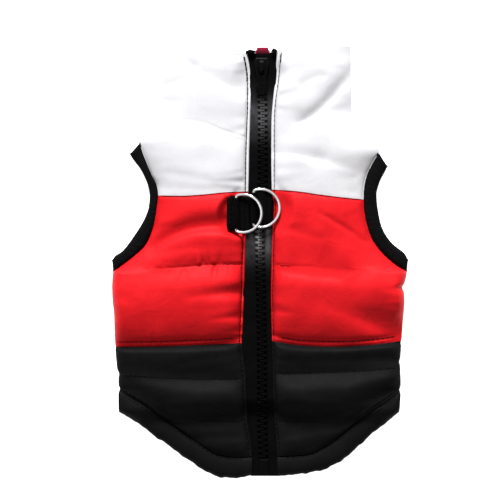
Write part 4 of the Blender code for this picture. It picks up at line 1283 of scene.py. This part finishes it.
def ring_tab(side):
    """A tab: its under layer, and the upper layer that runs flat from its end, over the
    ring's bar and down round it. The upper layer's profile is carried along Y."""
    bar_x, bar_y, bar_z, _ = RINGS[side]
    lap_end = TABS[side][-1]
    low = bar_z - LOOP_BORE - TAB_THICK
    toward = math.copysign(1, lap_end - bar_x)
    middle = LOOP_BORE + TAB_THICK / 2
    angle = np.radians(np.linspace(*LOOP_TURN, 40))
    loop = (bar_x + toward * middle * np.cos(angle), bar_z + middle * np.sin(angle))
    flat_x = np.linspace(lap_end, bar_x + toward * 2.0, 14)
    flat = (flat_x, 0 * flat_x + low + 1.5 * TAB_THICK + TAB_SEAT)
    centre = np.concatenate((np.stack(flat, axis=-1), np.stack(loop, axis=-1)))
    strip(f"ring_tab_{side}_loop", softened(centre, 2), bar_y, LOOP_HALF)
    under_layer(side, low)
    stitched = np.linspace(-TAB_SEWN, TAB_SEWN, 60) * LOOP_HALF + bar_y
    over = 0 * stitched + low + 2 * TAB_THICK + TAB_SEAT
    up = np.tile((0.0, 0.0, 1.0), (60, 1))
    rows = [(np.stack((0 * stitched + lap_end - toward * inwards, stitched, over), axis=-1), up)
            for inwards in TAB_ROWS]
    stitch_piece(f"ring_tab_{side}_stitches", rows, "black_thread")


def strip(name, centre, y, half):
    """A flat strap whose middle line in XZ is given, carried along Y, with rounded selvedges."""
    ahead = unit(np.gradient(centre, axis=0))
    share = np.linspace(-1, 1, 21)
    thick = TAB_THICK / 2 * (1 - 0.6 * np.abs(share) ** 8)
    across = np.concatenate((share, share[::-1]))
    offset = np.concatenate((thick, -thick[::-1]))
    x = centre[:, :1] - ahead[:, 1:] * offset
    z = centre[:, 1:] + ahead[:, :1] * offset
    body = np.stack((x, y + half * across + 0 * x, z), axis=-1)
    solid(name, body, tube(*x.shape), "black_webbing")


def under_layer(side, low):
    """Flat webbing with two rounded corners at its left end, under the loop."""
    left, right, half_wide, corner, _ = TABS[side]
    x = between(left, right, np.linspace(0, 1, 41))
    near = np.clip(x - left, 0, corner)
    half = half_wide - corner + np.sqrt(np.maximum(corner ** 2 - (corner - near) ** 2, 0))
    share = np.linspace(-1, 1, 41)[:, None]
    y = RINGS[side][1] + share * half
    x = np.repeat(x[None], 41, axis=0)
    rim = np.clip((1 - np.abs(share) ** 10) * np.minimum(1, (x - left + 0.15) / 0.6), 0, 1)
    node = "ring_tab_" + side
    top = low + TAB_THICK * (0.45 + 0.55 * rim)
    slab(node + "_under", x, y, top, low, "black_webbing", node=node)


# ---------------------------------------------------------------- sewing

STITCH_LONG = 2.9
STITCH_GAP = 0.1
STITCH_RADIUS = 0.24
STITCH_SIDES = 6
# Along a stitch: share of its length, share of its thickness, and lift.
STITCH_SHARES, STITCH_WIDTHS, STITCH_LIFTS = np.array((
    (0, 0.6, -0.14), (0.12, 0.95, 0.06), (0.5, 1, 0.16), (0.88, 0.95, 0.06), (1, 0.6, -0.14))).T
# Quilted lines: row below the line, thread, and for each half the share of the line, from
# the zip outwards, along which its thread lies on top.
QUILTING = (
    ("waist_up", "red", halves(0.3, 0.15)),
    ("rump_up", "black", halves(1.0)),
    ("tail", "black", halves(1.0)),
)
TOPSTITCH = {
    # beside the zip: thickness and wander of the thread, and grid rows sewn twice at the top
    "left": (0.34, 0.15, 20),
    "right": (0.26, 0.25, 11),
}
SEWN_TWICE = 0.35         # distance of the second row


def stitches(path, normals, radius):
    """Rows of short thread arcs along a path: each rises out of the cloth and dips back."""
    steps = np.linalg.norm(np.diff(path, axis=0), axis=1)
    s = np.concatenate(([0], np.cumsum(steps)))
    pitch = STITCH_LONG + STITCH_GAP
    count = int((s[-1] - 1) / pitch)
    where = 0.5 + pitch * np.arange(count)[:, None] + STITCH_LONG * STITCH_SHARES
    centre, up = (np.stack([np.interp(where, s, column) for column in field.T], axis=-1)
                  for field in (path, normals))
    up = unit(up)
    side = np.cross(unit(np.gradient(centre, axis=1)), up)
    centre = centre + up * STITCH_LIFTS[:, None]
    angles = np.linspace(0, 2 * np.pi, STITCH_SIDES, endpoint=False)[:, None]
    ring = side[:, :, None] * np.cos(angles) + up[:, :, None] * np.sin(angles)
    points = centre[:, :, None] + ring * radius * STITCH_WIDTHS[:, None, None]
    one = tube(len(STITCH_SHARES), STITCH_SIDES)
    return points.reshape(-1, 3), repeated(one, count, len(STITCH_SHARES) * STITCH_SIDES)


def stitch_piece(name, paths, finish, radius=STITCH_RADIUS):
    """One piece of all the stitches along the given paths."""
    points, faces, start = [], [], 0
    for path, normals in paths:
        made, quads = stitches(path, normals, radius)
        points.append(made)
        faces.append(quads + start)
        start += len(made)
    points = np.concatenate(points)
    faces = facing_out(points, np.concatenate(faces))
    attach(make_piece(name, points, faces, finish, sharp=80), "vest")


def places_at(lines, distances):
    """For each line of points, the fractional place that lies this far from its start."""
    steps = np.linalg.norm(np.diff(lines, axis=1), axis=-1)
    along = np.concatenate((np.zeros((len(lines), 1)), np.cumsum(steps, axis=1)), axis=1)
    places = np.arange(lines.shape[1])
    return np.array([np.interp(far, line, places) for far, line in zip(distances, along)])


def sewing(side, surface, casing):
    """Quilting, hem and edge stitches of one half."""
    grid = surface.grid
    rows, across = np.arange(len(grid)), np.arange(grid.shape[1])
    columns = np.arange(9.0, COLUMNS - 2.0, 0.5)
    quilt = {"red": [], "black": []}
    for row, colour, shows in QUILTING:
        sewn = columns[: int(len(columns) * shows[side])]
        quilt[colour].append(surface.at(0 * sewn + ROW_BOUNDS[row][1], sewn))
    seam = ROW_BOUNDS["waist_up"][0]
    welt = seam + places_at(grid[seam:].swapaxes(0, 1), 0 * across + WELT_STITCH)
    quilt["black"].append(surface.at(np.interp(columns, across, welt), columns))
    quilt["black"].append(casing.at(0 * columns + len(casing.grid) - 2.2, columns))
    for colour, paths in quilt.items():
        stitch_piece(f"{colour}_stitches_{side}", paths, colour + "_thread")
    radius, wander, twice = TOPSTITCH[side]
    i = np.arange(ROW_BOUNDS["tail"][0] + 1.0, ROW_BOUNDS["collar"][1] - 0.5, 0.5)
    beside = wander * waves(rows * 0.8, 40, 7) + curve(*EDGE_STITCHES[side])(grid[:, 0, 1])
    paths = []
    for place, shift in ((i, 0), (i[i > ROW_BOUNDS["collar"][1] - twice], SEWN_TWICE)):
        sewn = places_at(grid[..., :2], beside + shift)
        paths.append(surface.at(place, np.interp(place, rows, sewn)))
    stitch_piece("zip_topstitch_" + side, paths, "black_thread", radius)


# ---------------------------------------------------------------- stage

PHOTO_SIDE = 500
PIXEL = 0.6               # mm of the vest's plane in one pixel of the frame
PHOTO_ZERO = (259.5, 262.75)   # pixel that shows the frame's origin
CAMERA_HIGH = 1400.0
PLANE_Z = 6.0
FLOOR_HALF = 2400.0
FLOOR_Z = -0.05
LIGHTS = (
    # name, place in metres, diameter in metres, power in watts
    ("key", (-0.12, 1.74, 1.02), 0.7, 94),
    ("side_fill", (-1.3, -0.2, 1.2), 1.0, 4),
    ("foot_fill", (0.5, -1.3, 1.3), 1.0, 3),
)
ROOM = ((0.15, 0.55), (0.75, 0.12))   # height of the view's direction, and its light


def new_object(name, data):
    made = bpy.data.objects.new(name, data)
    bpy.context.collection.objects.link(made)
    return made


def make_camera():
    data = bpy.data.cameras.new("camera")
    camera = new_object("camera", data)
    view_x = (PHOTO_SIDE / 2 - PHOTO_ZERO[0]) * PIXEL
    view_y = (PHOTO_ZERO[1] - PHOTO_SIDE / 2) * PIXEL
    camera.location = (view_x * MM, view_y * MM, CAMERA_HIGH * MM)
    data.sensor_width = 36
    data.lens = data.sensor_width * (CAMERA_HIGH - PLANE_Z) / (PHOTO_SIDE * PIXEL)
    data.clip_start = 0.01
    data.clip_end = 20
    bpy.context.scene.camera = camera


def area_light(name, place, size, power):
    data = bpy.data.lights.new(name, "AREA")
    data.shape = "DISK"
    data.size = size
    data.energy = power
    light = new_object(name, data)
    light.location = place
    light.rotation_euler = (-light.location.normalized()).to_track_quat("-Z", "Y").to_euler()


def make_world():
    """Dim room: bright towards the horizon and darker overhead."""
    world = bpy.data.worlds.new("room")
    world.use_nodes = True
    nodes, links = world.node_tree.nodes, world.node_tree.links
    kinds = ("TexCoord", "SeparateXYZ", "ValToRGB")
    where, axes, fade = (nodes.new("ShaderNode" + kind) for kind in kinds)
    links.new(where.outputs["Generated"], axes.inputs[0])
    links.new(axes.outputs["Z"], fade.inputs["Fac"])
    for element, (place, level) in zip(fade.color_ramp.elements, ROOM):
        element.position = place
        element.color = (level, level, level, 1)
    links.new(fade.outputs["Color"], nodes["Background"].inputs["Color"])
    bpy.context.scene.world = world


def make_stage():
    ways = ((-1, -1), (1, -1), (1, 1), (-1, 1))
    points = [(x * FLOOR_HALF, y * FLOOR_HALF, FLOOR_Z) for x, y in ways]
    make_piece("floor", points, [[0, 1, 2, 3]], "floor_paper")
    for light in LIGHTS:
        area_light(*light)
    make_world()
    settings = bpy.context.scene.view_settings
    settings.view_transform = "Standard"
    settings.look = "None"
    settings.exposure = 0
    settings.gamma = 1


KEPT_NODES = {"zip_slider": "black_lacquer", "zip_pull": "black_lacquer", "zip_box": "zip_plastic"}


def dress():
    for side in SIDES:
        surface = Surface(back_surface(side))
        back_panels(side, surface)
        casing = hem_casing(side)
        for make in (tail_lining, zip_tape, tape_end, armhole_binding, leash_ring, ring_tab):
            make(side)
        sewing(side, surface, casing)
    for name, panel in CHEST_PANELS.items():
        chest_panel(name, *panel)
    collar_lining()
    zip_teeth()
    for node, finish in KEPT_NODES.items():
        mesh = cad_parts[node].data
        mesh.materials.clear()
        mesh.materials.append(FINISHES[finish])


dress()
make_camera()
make_stage()
